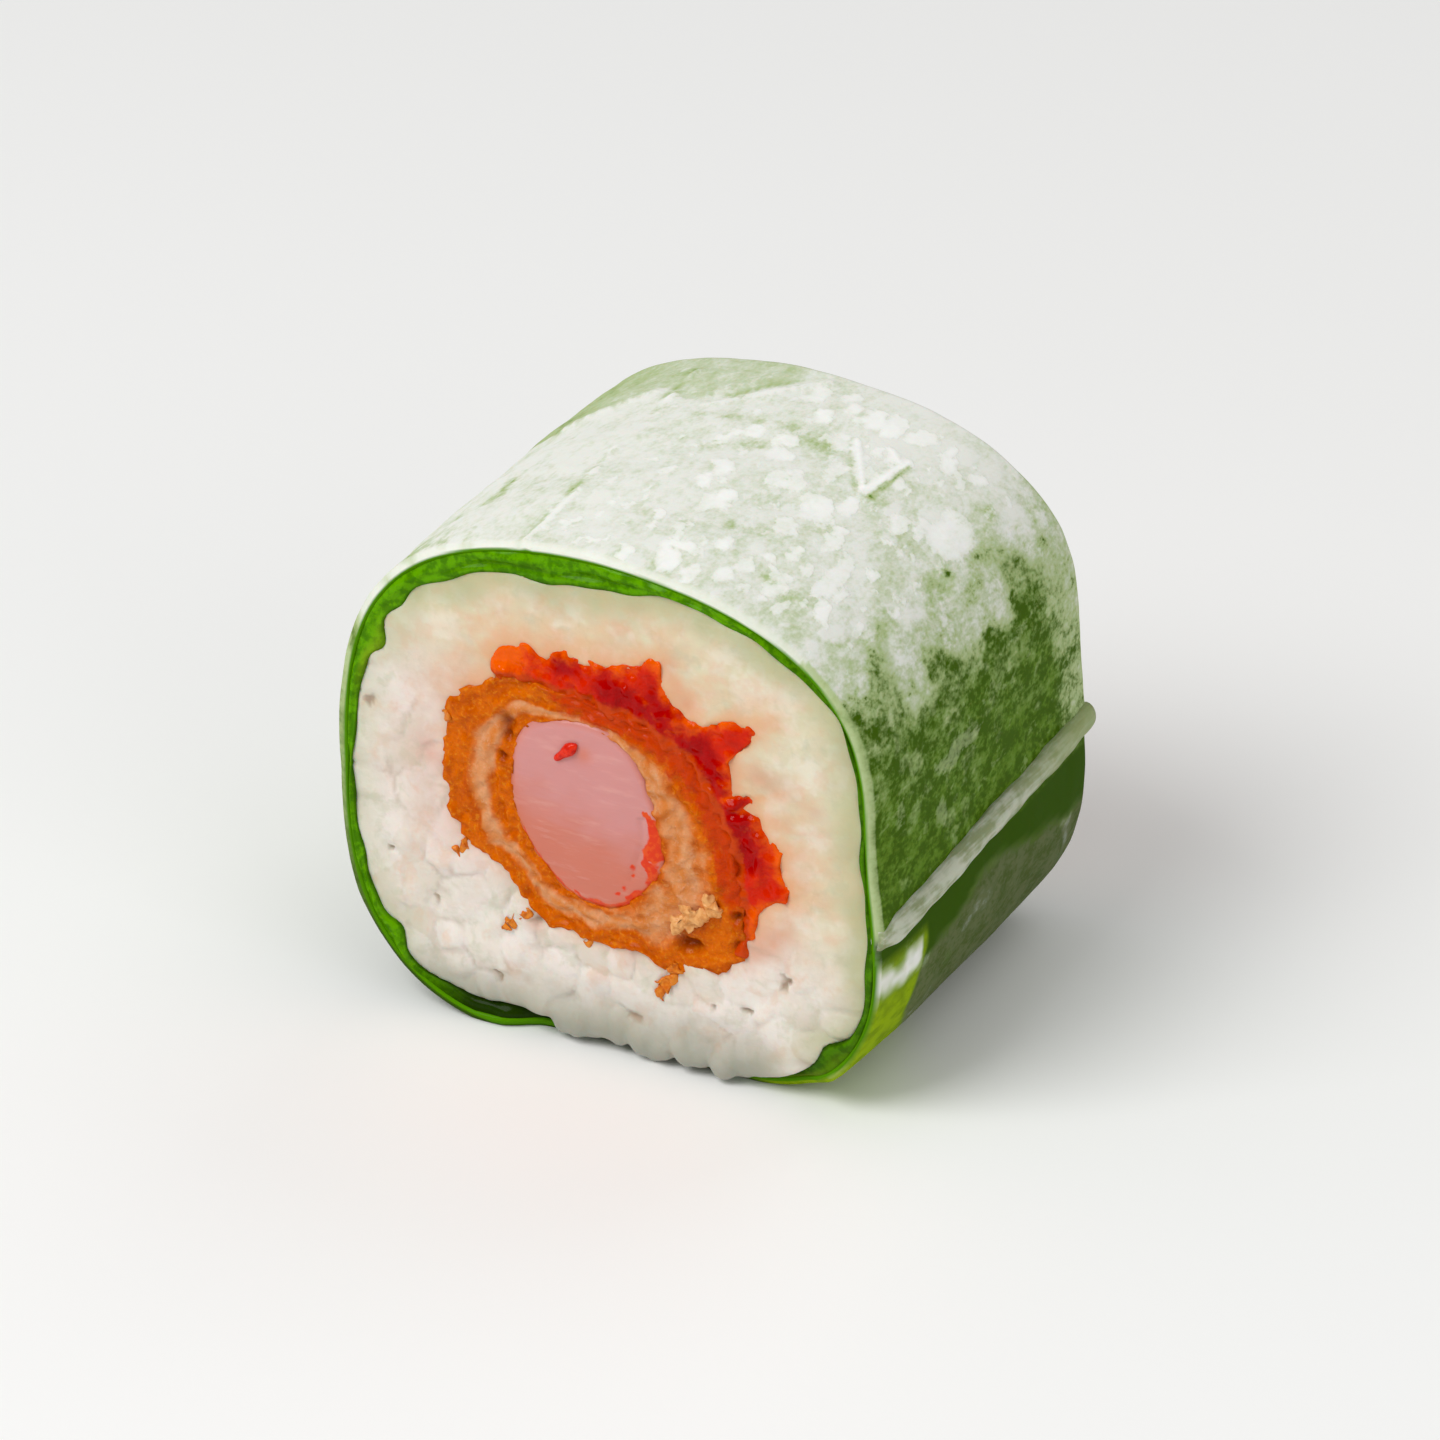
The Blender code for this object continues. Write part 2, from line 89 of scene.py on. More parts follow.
@dataclass(frozen=True)
class Section:
    """The squashed, rounded square that the wrap makes, which every layer follows.

    Each crest swells its mean radius: how many there are in a turn, their height in mm and one's angle.
    """

    length: float
    axis_x: float
    centre_z: float = 19.2
    mean_radius: float = 21.35
    barrel: float = 0.018
    crests: tuple[Triple, ...] = (
        (1, 0.55, -80.0), (2, 1.11, -29.2), (3, 0.51, -84.4), (4, 1.33, -171.8), (5, 0.34, 136.3),
        (6, 0.19, 143.8),
    )
    spill_angle: float = -77.0
    spill_spread: float = 27.0
    spill_fade: float = 9.0
    spill_recess: float = 1.6

    @classmethod
    def from_frame(cls, left_radius: float = 21.41) -> "Section":
        """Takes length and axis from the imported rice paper, which reaches left_radius mm left of the axis."""
        low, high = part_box("rice_paper")
        return cls(length=(high.y - low.y) / MM, axis_x=low.x / MM + left_radius)

    @property
    def half(self) -> float:
        """How far the cuts lie from the roll's middle, in mm."""
        return self.length / 2.0

    def polar(self, x: Values, z: Values) -> tuple[Values, Values]:
        """Returns the angle and the distance of points from the axis."""
        return np.degrees(np.arctan2(z - self.centre_z, x)), np.hypot(x, z - self.centre_z)

    def radius(self, degrees: Values, along: Values) -> Values:
        """Returns the wrap's outer radius in mm."""
        swell = sum(height * np.cos(np.radians(count * degrees - at)) for count, height, at in self.crests)
        return (self.mean_radius + swell) * (1.0 + self.barrel * (1.0 - along**4))

    def at_depth(self, degrees: Values, along: Values, depth: Values) -> tuple[Values, Values]:
        """Finds points under the wrap's surface, on its flat underside too.

        Args:
            degrees: Angles round the axis.
            along: Places along the roll.
            depth: How deep under the surface, in mm.

        Returns:
            x and z in mm.
        """
        reach = self.radius(degrees, along) - depth
        x = reach * np.cos(np.radians(degrees))
        z = self.centre_z + reach * np.sin(np.radians(degrees))
        return x, np.maximum(z, depth)

    def end(self, degrees: Values, along: Values) -> Values:
        """Returns y in mm, drawn back at each cut under the rice that spills at the bottom."""
        off = np.abs(turned(degrees, self.spill_angle))
        spill = smooth(self.spill_spread + self.spill_fade, self.spill_spread, off)
        return along * (self.half - self.spill_recess * spill)


@dataclass(frozen=True)
class Outline:
    """An outline on the cut, measured corner by corner in mm and read as a radius about a centre."""

    centre: tuple[float, float]
    corners: tuple[tuple[float, float], ...]

    def polar(self, x: Values, z: Values) -> tuple[Values, Values]:
        """Returns the angle and the distance of points from the centre."""
        across, up = x - self.centre[0], z - self.centre[1]
        return np.degrees(np.arctan2(up, across)), np.hypot(across, up)

    def point(self, degrees: Values, radius: Values) -> tuple[Values, Values]:
        """Returns x and z of points at that angle and distance from the centre."""
        turn = np.radians(degrees)
        return self.centre[0] + radius * np.cos(turn), self.centre[1] + radius * np.sin(turn)

    def radius(self, degrees: Values) -> Values:
        """Returns the outline's radius, straight between its corners."""
        angles, reach = self.polar(*np.array(self.corners).T)
        order = np.argsort(angles)
        return np.interp(degrees, angles[order], reach[order], period=360.0)


BATTER = Outline(
    (-1.4, 17.4),
    (
        (-9.6, 26.7), (-11.3, 25.7), (-12.4, 24.3), (-12.1, 23.0), (-12.3, 21.3), (-12.3, 19.0),
        (-12.0, 17.3), (-11.5, 15.7), (-10.7, 14.9), (-10.6, 13.8), (-9.4, 13.8), (-8.0, 13.3), (-6.7, 12.3),
        (-6.1, 11.0), (-5.3, 10.1), (-4.0, 9.5), (-2.2, 9.4), (-0.7, 8.9), (1.3, 9.3), (3.3, 9.1), (4.4, 8.3),
        (5.5, 8.1), (7.3, 9.2), (8.8, 8.9), (9.8, 9.8), (10.7, 10.8), (10.6, 13.0), (10.4, 15.0),
        (10.0, 17.0), (9.4, 19.2), (8.6, 21.0), (7.4, 22.8), (5.8, 24.6), (3.3, 26.1), (0.3, 26.7),
        (-3.8, 27.2), (-6.5, 27.6), (-8.3, 27.6),
    ),
)
SAUCE = Outline(
    (-1.4, 17.4),
    (
        (-8.4, 26.4), (-9.3, 28.6), (-8.3, 29.5), (-7.4, 30.2), (-6.0, 30.4), (-5.2, 29.8), (-4.0, 30.6),
        (-2.0, 30.3), (0.7, 30.5), (2.3, 31.0), (3.2, 31.8), (3.9, 31.3), (4.0, 30.0), (5.0, 28.6),
        (7.0, 27.4), (8.2, 28.1), (9.7, 28.5), (11.2, 28.3), (11.1, 27.4), (10.2, 26.4), (9.2, 25.3),
        (9.3, 24.4), (9.6, 22.6), (10.4, 21.9), (11.6, 23.2), (11.9, 21.6), (12.3, 20.2), (13.6, 19.4),
        (13.2, 18.0), (14.4, 16.6), (14.1, 15.6), (12.9, 15.3), (12.0, 14.6), (11.7, 13.4), (11.5, 12.2),
        (10.9, 10.9), (10.0, 11.4), (4.0, 14.0), (-1.4, 14.0), (-5.0, 17.4), (-6.0, 22.0),
    ),
)
SHRIMP = Outline(
    (-1.4, 18.6),
    (
        (-7.3, 20.2), (-7.2, 22.0), (-6.9, 23.3), (-6.3, 24.4), (-5.3, 25.1), (-3.3, 25.5), (-0.7, 25.5),
        (0.8, 25.0), (2.4, 23.3), (3.3, 21.3), (4.0, 19.4), (4.6, 18.2), (4.7, 16.8), (4.2, 15.0),
        (3.3, 13.6), (2.0, 12.4), (0.7, 11.8), (-1.0, 11.8), (-2.7, 12.3), (-4.3, 13.6), (-5.5, 15.0),
        (-6.5, 16.7), (-7.2, 18.3),
    ),
)
SAUCE_ENDS = (-30.0, 125.0)


def sauce_depth(degrees: Values) -> Values:
    """Returns how thick the sauce lies on the batter, in mm."""
    return np.maximum(SAUCE.radius(degrees) - BATTER.radius(degrees), 0.0)


def stroke(x: Values, z: Values, path: Sequence[Triple]) -> Values:
    """Paints a line on the cut.

    Args:
        x: Where to read it, in mm.
        z: Where to read it, in mm.
        path: The line's points as x, z and half width, in mm.

    Returns:
        1 on the line, falling softly to 0 beyond its width.
    """
    cover = np.zeros_like(x)
    for (x0, z0, w0), (x1, z1, w1) in zip(path, path[1:]):
        line = np.array((x1 - x0, z1 - z0))
        share = np.clip(((x - x0) * line[0] + (z - z0) * line[1]) / (line @ line), 0.0, 1.0)
        off = np.hypot(x - x0 - share * line[0], z - z0 - share * line[1])
        cover = np.maximum(cover, smooth(1.5, 0.6, off / (w0 + (w1 - w0) * share)))
    return cover


def spots(x: Values, z: Values, places: Sequence[Triple]) -> Values:
    """Returns soft round spots, each given as x, z and size in mm."""
    return sum(np.exp(-(((x - px) ** 2 + (z - pz) ** 2) / size**2)) for px, pz, size in places)


class Cut(Enum):
    """The two cuts of the piece, as the sign of y."""

    SHOWN = -1.0
    FAR = 1.0


def linear(code: str) -> tuple[float, float, float, float]:
    """Turns an sRGB hex colour such as #C86432 into linear RGBA."""
    channels = [int(code[i : i + 2], 16) / 255.0 for i in (1, 3, 5)]
    return *(c / 12.92 if c <= 0.04045 else ((c + 0.055) / 1.055) ** 2.4 for c in channels), 1.0


def per(size: float) -> float:
    """Returns the noise scale that gives lumps of about that size in mm on Object coordinates."""
    return 1.0 / (size * MM)


class Paint:
    """A material whose node tree is being laid out.

    A node's input takes a socket, a number, a hex colour, or the name of a mask, which is one number that the
    mesh holds for each of its points.
    """

    def __init__(self, name: str) -> None:
        """Starts a material with a Principled shader.

        Args:
            name: What the finish is.
        """
        self.material = bpy.data.materials.new(name)
        self.material.use_nodes = True
        self.tree = self.material.node_tree
        self.shader = self.tree.nodes["Principled BSDF"]
        self.place = self.add("ShaderNodeTexCoord", output="Object")

    def add(self, kind: str, inputs: dict | None = None, output: str | int = 0, **options: object) -> object:
        """Adds a node with its settings and links.

        Args:
            kind: The node's type.
            inputs: What each of its inputs takes, by name or number.
            output: The output to hand back.
            **options: The node's own settings.

        Returns:
            That output's socket.
        """
        made = self.tree.nodes.new(kind)
        for option, value in options.items():
            setattr(made, option, value)
        for name, value in (inputs or {}).items():
            if isinstance(value, str) and value.startswith("#"):
                value = linear(value)
            elif isinstance(value, str):
                value = self.add("ShaderNodeAttribute", output="Fac", attribute_name=value)
            if isinstance(value, bpy.types.NodeSocket):
                self.tree.links.new(value, made.inputs[name])
            else:
                made.inputs[name].default_value = value
        return made.outputs[output]

    def blend(self, share: object, under: object, over: object) -> object:
        """Returns the colour under with a share of the colour over mixed in."""
        return self.add("ShaderNodeMix", {0: share, 6: under, 7: over}, output=2, data_type="RGBA")

    def layers(self, colour: object, *coats: tuple[object, object]) -> object:
        """Blends coats over a colour, one after the other, each given as its share and its colour."""
        for share, over in coats:
            colour = self.blend(share, colour, over)
        return colour

    def grains(self, size: float, detail: float = 3.0, at: object = None) -> object:
        """Returns cloudy noise with lumps of a size in mm."""
        inputs = {"Vector": at or self.place, "Scale": per(size), "Detail": detail, "Roughness": 0.6}
        return self.add("ShaderNodeTexNoise", inputs, output="Fac")

    def drawn_out(self, *scale: float, tilt: float = 0.0) -> object:
        """Returns the place stretched along each axis, turned by a tilt in radians about y."""
        inputs = {"Vector": self.place, "Rotation": (0.0, tilt, 0.0), "Scale": scale}
        return self.add("ShaderNodeMapping", inputs)

    def wobble(self, at: object, size: float, amount: float) -> object:
        """Shakes a place by noise with lumps of a size, both in mm."""
        shake = self.add("ShaderNodeTexNoise", {"Vector": at, "Scale": per(size)}, output="Color")
        inputs = {0: shake, 1: (amount * MM,) * 3, 2: at}
        return self.add("ShaderNodeVectorMath", inputs, operation="MULTIPLY_ADD")

    def flecks(self, at: object, size: float, spread: float, share: float) -> object:
        """Scatters round flecks in loose clusters.

        Args:
            at: The place to read.
            size: How far the flecks lie apart, in mm.
            spread: How far the clusters lie apart, in mm.
            share: The noise level above which flecks show, so a lower one shows more.

        Returns:
            1 on a fleck and 0 off it.
        """
        inputs = {"Vector": at, "Scale": per(size), "Randomness": 1.0}
        distance = self.add("ShaderNodeTexVoronoi", inputs, output="Distance")
        chosen = self.step(self.grains(spread, 1.0, at), share, share + 0.08)
        return self.product(self.step(distance, 0.42, 0.26), chosen)

    def step(self, value: object, low: float, high: float, most: float = 1.0) -> object:
        """Turns the range from low to high into a smooth rise from 0 to the most."""
        inputs = {"Value": value, "From Min": low, "From Max": high, "To Min": 0.0, "To Max": most}
        return self.add("ShaderNodeMapRange", inputs, interpolation_type="SMOOTHSTEP")

    def sum(self, *terms: tuple[object, float]) -> object:
        """Adds up sockets, each times its own factor."""
        total: object = 0.0
        for socket, factor in terms:
            total = self.add("ShaderNodeMath", {0: socket, 1: factor, 2: total}, operation="MULTIPLY_ADD")
        return total

    def product(self, first: object, second: object) -> object:
        """Multiplies two sockets or numbers."""
        return self.add("ShaderNodeMath", {0: first, 1: second}, operation="MULTIPLY")

    def relief(self, height: object, depth: float) -> None:
        """Gives the surface fine bumps, where a height of 1 stands for the depth in mm."""
        inputs = {"Height": height, "Distance": depth * MM, "Strength": 1.0}
        self.tree.links.new(self.add("ShaderNodeBump", inputs), self.shader.inputs["Normal"])

    def finish(
        self, colour: object, roughness: float, specular: float = 0.0, coat: Sequence[float] = (0.0, 0.03),
        soft: Sequence[float] = (0.0, 0.5),
    ) -> bpy.types.Material:
        """Links the colour and sets how the surface takes the light.

        Args:
            colour: The colour's socket.
            roughness: How dull the surface is.
            specular: How much it mirrors.
            coat: The strength and the roughness of the wet layer on it.
            soft: How much light goes through it, and how far in mm.

        Returns:
            The finished material.
        """
        self.tree.links.new(colour, self.shader.inputs["Base Color"])
        names = (
            "Roughness", "Specular IOR Level", "Coat Weight", "Coat Roughness", "Subsurface Weight",
            "Subsurface Scale",
        )
        for name, value in zip(names, (roughness, specular, *coat, soft[0], soft[1] * MM)):
            self.shader.inputs[name].default_value = value
        return self.material


@dataclass(frozen=True)
class DampRicePaper:
    """Soaked rice paper on a lettuce leaf: a milky film with starch blotches, and green beneath."""

    film: str = "#E7E8E0"
    starch: str = "#F9F9F6"
    faint_starch: str = "#BCC79A"
    cut_leaf: str = "#4C8400"
    leaf: str = "#405E0A"
    pale_leaf: str = "#5E8022"
    veiled_leaf: str = "#A6B97C"
    deep_leaf: str = "#345200"
    grey_film: str = "#626C46"
    grey_streak: str = "#4C5C2A"
    bare_leaf: str = "#8CA80C"
    bare_shade: str = "#748E0A"
    cloud: float = 3.6
    mottle: float = 1.3
    fibre: float = 0.35

    def build(self) -> bpy.types.Material:
        """Lays out the finish.

        Returns:
            The material, which reads the masks veil, mottle, fleck, starch, deep, grey, bare and inner.
        """
        paint = Paint("damp rice paper over lettuce")
        drawn_out = paint.drawn_out(1.0, 0.6, 1.0)
        cloud, mottle, fibre = (
            paint.grains(size, detail, drawn_out)
            for size, detail in ((self.cloud, 4.0), (self.mottle, 3.0), (self.fibre, 2.0))
        )
        shaken = paint.wobble(drawn_out, 0.9, 1.0)
        sprinkled = paint.sum(
            (paint.flecks(shaken, 2.3, 4.0, 0.48), 0.6), (paint.flecks(shaken, 1.0, 1.8, 0.54), 0.45)
        )
        uneven = paint.sum((cloud, 1.5), (mottle, 1.8), (fibre, 1.3), (1.0, -2.3))
        milk = paint.sum(
            ("veil", 1.0), (paint.product("mottle", uneven), 1.0), (paint.product("fleck", sprinkled), 0.32)
        )
        grainy = paint.sum((mottle, 0.6), (fibre, 0.4))
        starch = paint.step(paint.sum(("starch", 1.0), (mottle, 0.8), (fibre, 0.6)), 0.82, 1.02)
        colour = paint.layers(
            self.leaf,
            (paint.step(grainy, 0.42, 0.6), self.pale_leaf),
            (paint.step(milk, 0.04, 0.32), self.veiled_leaf),
            ("deep", self.deep_leaf),
            ("grey", paint.blend(paint.step(grainy, 0.4, 0.62), self.grey_film, self.grey_streak)),
            ("bare", paint.blend(paint.step(mottle, 0.4, 0.65), self.bare_leaf, self.bare_shade)),
            (paint.step(milk, 0.14, 1.0), self.film),
            (
                paint.product(starch, "starch"),
                paint.blend(paint.step(milk, 0.15, 0.6), self.faint_starch, self.starch),
            ),
            ("inner", self.cut_leaf),
        )
        paint.relief(paint.sum((mottle, 0.4), (sprinkled, 0.3), (starch, 0.3)), 0.06)
        return paint.finish(colour, 0.5, coat=(0.07, 0.2), soft=(0.08, 0.5))


@dataclass(frozen=True)
class RolledPaper:
    """The rolled free edge of the rice paper: several turns of film, so it is cloudier than the rest."""

    film: str = "#C0C4B0"
    shade: str = "#8E9870"
    back: str = "#94A366"
    streak: float = 0.6

    def build(self) -> bpy.types.Material:
        """Returns the finished material, which reads the mask back."""
        paint = Paint("rolled rice paper edge")
        streaks = paint.grains(self.streak, 3.0, paint.drawn_out(1.0, 0.1, 1.0))
        cloudy = paint.step(paint.sum((streaks, 0.6), (paint.grains(2.0), 0.4)), 0.4, 0.6)
        colour = paint.layers(self.shade, (cloudy, self.film), ("back", self.back))
        paint.relief(streaks, 0.1)
        return paint.finish(colour, 0.45, 0.1, soft=(0.15, 0.6))


@dataclass(frozen=True)
class FreshLettuce:
    """A raw lettuce leaf at its cut: wet and bright green, with painted shade where the fold throws shade, at
    its edge against the rice, in its pockets and on its right side.
    """

    bright: str = "#5C9A00"
    mid: str = "#427800"
    # The colour of the painted shade.
    dark: str = "#1C3202"
    pale: str = "#8AA31C"
    vein_size: float = 0.8

    def build(self) -> bpy.types.Material:
        """Returns the finished material, which reads the masks shade and pale."""
        paint = Paint("fresh lettuce leaf")
        patches = paint.grains(self.vein_size, 4.0)
        colour = paint.layers(
            self.bright, (paint.step(patches, 0.4, 0.6), self.mid), ("pale", self.pale), ("shade", self.dark)
        )
        paint.relief(patches, 0.15)
        return paint.finish(colour, 0.4, coat=(0.1, 0.15), soft=(0.1, 0.5))


@dataclass(frozen=True)
class CookedRice:
    """Steamed short-grain rice: soft, moist and cloudy, stained where it meets the sauce."""

    white: str = "#E4DCD4"
    cream: str = "#D8CFB0"
    bright: str = "#EBE5DB"
    blush: str = "#DDB89C"
    wet: str = "#B8BA9E"
    clear: str = "#CBC0AC"
    peach: str = "#DE9A68"
    pink: str = "#CC8064"
    green: str = "#A8AC7C"
    # Painted shade in the cracks and pits between grains.
    crack: str = "#A88F78"
    # Painted shade: the grey towards the bottom of the cut, near the floor.
    low: str = "#96978A"

    def build(self) -> bpy.types.Material:
        """Lays out the finish.

        Returns:
            The material, which reads the masks cream, tone, low, leafward, stain, pink and crack.
        """
        paint = Paint("cooked short-grain rice")
        cloud = paint.grains(1.3, 3.0)
        clumps = paint.grains(3.2, 3.0, paint.wobble(paint.place, 1.5, 1.5))
        drift = paint.grains(2.2, 4.0, paint.wobble(paint.place, 2.5, 1.5))
        colour = paint.layers(
            self.white,
            ("cream", self.cream),
            (paint.product(paint.step(paint.sum((cloud, 0.6), ("tone", 0.4)), 0.3, 0.7), 0.5), self.clear),
            (paint.step(clumps, 0.46, 0.62, 0.42), self.bright),
            (paint.step(drift, 0.52, 0.68, 0.4), self.blush),
            (paint.step(drift, 0.46, 0.32, 0.35), self.wet),
            ("low", self.low),
            ("leafward", self.green),
            ("stain", self.peach),
            ("pink", self.pink),
            ("crack", self.crack),
        )
        paint.relief(paint.sum((paint.grains(0.45, 2.0), 0.6), (cloud, 0.4)), 0.08)
        return paint.finish(colour, 0.42, 0.25, coat=(0.1, 0.15), soft=(0.3, 1.0))


@dataclass(frozen=True)
class ChilliSauce:
    """A thick chilli sauce: a wet, pulpy paste, deep red where it lies thick and orange where it is thin."""

    red: str = "#CC2000"
    deep: str = "#A60000"
    thin: str = "#E85A00"
    oily: str = "#C03E06"
    pulp: float = 0.8

    def build(self) -> bpy.types.Material:
        """Returns the finished material, which reads the masks thin, deep and oily."""
        paint = Paint("chilli sauce")
        pulp = paint.grains(self.pulp, 3.0)
        patches = paint.grains(1.9, 3.0, paint.wobble(paint.place, 0.8, 0.8))
        colour = paint.layers(
            self.red,
            (paint.step(paint.sum(("deep", 0.9), (patches, 1.4)), 0.7, 1.45), self.deep),
            (paint.step(paint.sum(("thin", 1.0), (patches, -1.6), (pulp, 0.6)), -0.45, 0.35), self.thin),
            (paint.step(paint.sum(("oily", 1.0), (pulp, 1.2)), 0.75, 1.35), self.oily),
        )
        paint.relief(paint.sum((pulp, 0.6), (paint.grains(0.35, 2.0), 0.4)), 0.22)
        return paint.finish(colour, 0.35, coat=(0.22, 0.08), soft=(0.1, 0.5))


@dataclass(frozen=True)
class FriedBatter:
    """Tempura batter: a fried, oily, crumbly crust outside and paler, doughy layers round the shrimp."""

    crust: str = "#D06200"
    toasted: str = "#BC5000"
    crisp: str = "#E08A1C"
    burnt: str = "#A23C00"
    dough: str = "#CE7A36"
    pale: str = "#D49464"
    airy: str = "#DDA682"
    red: str = "#C23A04"
    # Painted shade inside the bubble holes.
    hole_shade: str = "#7E2800"
    crumb: float = 0.8

    def build(self) -> bpy.types.Material:
        """Returns the finished material, which reads the masks dough, streak, hole and sauced."""
        paint = Paint("fried tempura batter")
        crumbs = paint.grains(self.crumb, 4.0)
        fine = paint.grains(0.35, 3.0)
        streaky = paint.sum(("streak", 0.6), (crumbs, 0.4))
        dough = paint.layers(
            self.dough, (paint.step(streaky, 0.3, 0.7), self.pale), (paint.step(fine, 0.5, 0.7, 0.4), self.airy)
        )
        colour = paint.layers(
            self.toasted,
            (paint.step(streaky, 0.3, 0.6), self.crust),
            (paint.step(fine, 0.52, 0.68, 0.5), self.crisp),
            (paint.step(fine, 0.46, 0.32, 0.35), self.burnt),
            (paint.step(paint.sum(("dough", 1.0), (streaky, 0.7)), 0.75, 1.3), dough),
            (paint.step(paint.sum(("sauced", 1.0), (crumbs, 1.4)), 0.95, 1.6), self.red),
            ("hole", self.hole_shade),
        )
        paint.relief(paint.sum((crumbs, 0.55), (fine, 0.45)), 0.34)
        return paint.finish(colour, 0.45, coat=(0.14, 0.15), soft=(0.1, 0.5))


@dataclass(frozen=True)
class CookedShrimp:
    """Cooked shrimp tail meat: smooth, moist and pink, with orange-red skin along its lower right."""

    meat: str = "#CB8A86"
    low_meat: str = "#C87460"
    pale: str = "#D69F96"
    edge: str = "#D06A40"
    skin: str = "#D63200"
    light_skin: str = "#DC4A06"
    fibre: float = 1.2

    def build(self) -> bpy.types.Material:
        """Returns the finished material, which reads the masks low, skin and rim."""
        paint = Paint("cooked shrimp meat")
        fibres = paint.grains(self.fibre, 4.0, paint.drawn_out(0.35, 1.0, 1.6, tilt=0.5))
        red = paint.blend(paint.step(paint.grains(0.5), 0.45, 0.6), self.skin, self.light_skin)
        colour = paint.layers(
            self.meat,
            (paint.step(paint.sum(("low", 1.0), (fibres, 0.6)), 0.35, 1.15), self.low_meat),
            (paint.step(fibres, 0.5, 0.75, 0.5), self.pale),
            ("rim", self.edge),
            (paint.step(paint.sum(("skin", 1.0), (paint.grains(0.7), 0.6)), 0.55, 0.95), red),
        )
        paint.relief(fibres, 0.05)
        return paint.finish(colour, 0.4, 0.15, coat=(0.25, 0.12), soft=(0.2, 1.0))


@dataclass(frozen=True)
class PlainCrumb:
    """A small loose bit of one colour, such as a tempura crumb or a bit of chilli."""

    name: str
    light: str
    dark: str
    roughness: float = 0.5

    def build(self) -> bpy.types.Material:
        """Returns the finished material."""
        paint = Paint(self.name)
        fine = paint.grains(0.5, 3.0)
        paint.relief(fine, 0.15)
        colour = paint.blend(paint.step(fine, 0.4, 0.65), self.light, self.dark)
        return paint.finish(colour, self.roughness, 0.1, coat=(0.2, 0.03))


def select_only(obj: bpy.types.Object | None = None) -> None:
    """Deselects everything, then selects one object and makes it active."""
    bpy.ops.object.select_all(action="DESELECT")
    if obj is not None:
        obj.select_set(True)
        bpy.context.view_layer.objects.active = obj


@contextmanager
def edit_mode(obj: bpy.types.Object) -> Iterator[None]:
    """Opens an object in edit mode with all of its mesh selected.

    Args:
        obj: The mesh object.

    Yields:
        Nothing.
    """
    select_only(obj)
    bpy.ops.object.mode_set(mode="EDIT")
    bpy.ops.mesh.select_all(action="SELECT")
    yield
    bpy.ops.object.mode_set(mode="OBJECT")


def read_points(obj: bpy.types.Object) -> Values:
    """Returns a mesh's points as rows of x, y, z, in the mesh's own units."""
    flat = np.empty(len(obj.data.vertices) * 3)
    obj.data.vertices.foreach_get("co", flat)
    return flat.reshape(-1, 3)


def write_points(obj: bpy.types.Object, points: Values) -> None:
    """Moves a mesh's points, given as rows of x, y, z."""
    obj.data.vertices.foreach_set("co", np.asarray(points, float).reshape(-1))
    obj.data.update()


def mark(obj: bpy.types.Object, **masks: Values) -> None:
    """Stores masks on a mesh, one number for each point, for its material to read."""
    for name, values in masks.items():
        mask = obj.data.attributes.new(name, "FLOAT", "POINT")
        mask.data.foreach_set("value", np.clip(np.asarray(values, float), 0.0, 1.0))


def form(name: str, steps: Values, rows: Sequence[tuple[float, float]], place: Place) -> bpy.types.Object:
    """Moves the points of the body that was just added to where a place function wants them.

    Args:
        name: The piece's name.
        steps: The number of each point's row.
        rows: What each row of points hands to the place function: (along, share).
        place: Gives x, y, z in mm for angles, alongs and shares.

    Returns:
        The body, in mm, with all of its faces outwards.
    """
    body = bpy.context.object
    body.name = name
    points = read_points(body)
    degrees = np.degrees(np.arctan2(points[:, 1], points[:, 0]))
    row = np.round(steps).astype(int) % len(rows)
    along, share = (np.array(column)[row] for column in zip(*rows))
    write_points(body, np.stack(place(degrees, along, share), axis=1))
    face_out(body)
    return body


def wound_ring(name: str, around: int, rows: Sequence[tuple[float, float]], place: Place) -> bpy.types.Object:
    """Models a closed sleeve: a ring is added, and its points are moved to a wall that goes all round.

    Args:
        name: The piece's name.
        around: How many points there are round the axis.
        rows: The wall's own outline as pairs of (along, share of the way from outside to inside).
        place: Gives x, y, z in mm for angles, alongs and shares.

    Returns:
        The sleeve, in mm.
    """
    select_only()
    bpy.ops.mesh.primitive_torus_add(
        major_segments=around, minor_segments=len(rows), major_radius=1.0, minor_radius=0.25
    )
    x, y, z = read_points(bpy.context.object).T
    tube = np.arctan2(z, np.hypot(x, y) - 1.0)
    return form(name, tube / (2.0 * math.pi) * len(rows), rows, place)


def wall_rows(alongs: Sequence[float], shares: Sequence[float] = ()) -> list[tuple[float, float]]:
    """Lists a closed wall's outline: along its outside, over the far cut, back inside and over the shown cut.

    Args:
        alongs: Where its rows lie along the roll, from the shown cut to the far one.
        shares: Where its rows lie on the cuts, as shares of the way from outside to inside.

    Returns:
        Pairs of (along, share).
    """
    rows = [(along, 0.0) for along in alongs] + [(1.0, share) for share in shares]
    return rows + [(along, 1.0) for along in alongs[::-1]] + [(-1.0, share) for share in shares[::-1]]


def shaped_ball(name: str, around: int, rows: Sequence[tuple[float, float]], place: Place) -> bpy.types.Object:
    """Models a solid body: a ball is added, and its rings are moved to the body's own rings.

    Args:
        name: The piece's name.
        around: How many points there are in a ring.
        rows: For each ring from pole to pole, (along, share of the full radius).
        place: Gives x, y, z in mm for angles, alongs and shares.

    Returns:
        The body, in mm.
    """
    select_only()
    bpy.ops.mesh.primitive_uv_sphere_add(segments=around, ring_count=len(rows) - 1, radius=1.0)
    height = np.clip(read_points(bpy.context.object)[:, 2], -1.0, 1.0)
    return form(name, np.arccos(height) / math.pi * (len(rows) - 1), rows, place)


def face_out(obj: bpy.types.Object) -> None:
    """Makes all faces of a closed mesh point outwards."""
    with edit_mode(obj):
        bpy.ops.mesh.normals_make_consistent(inside=False)


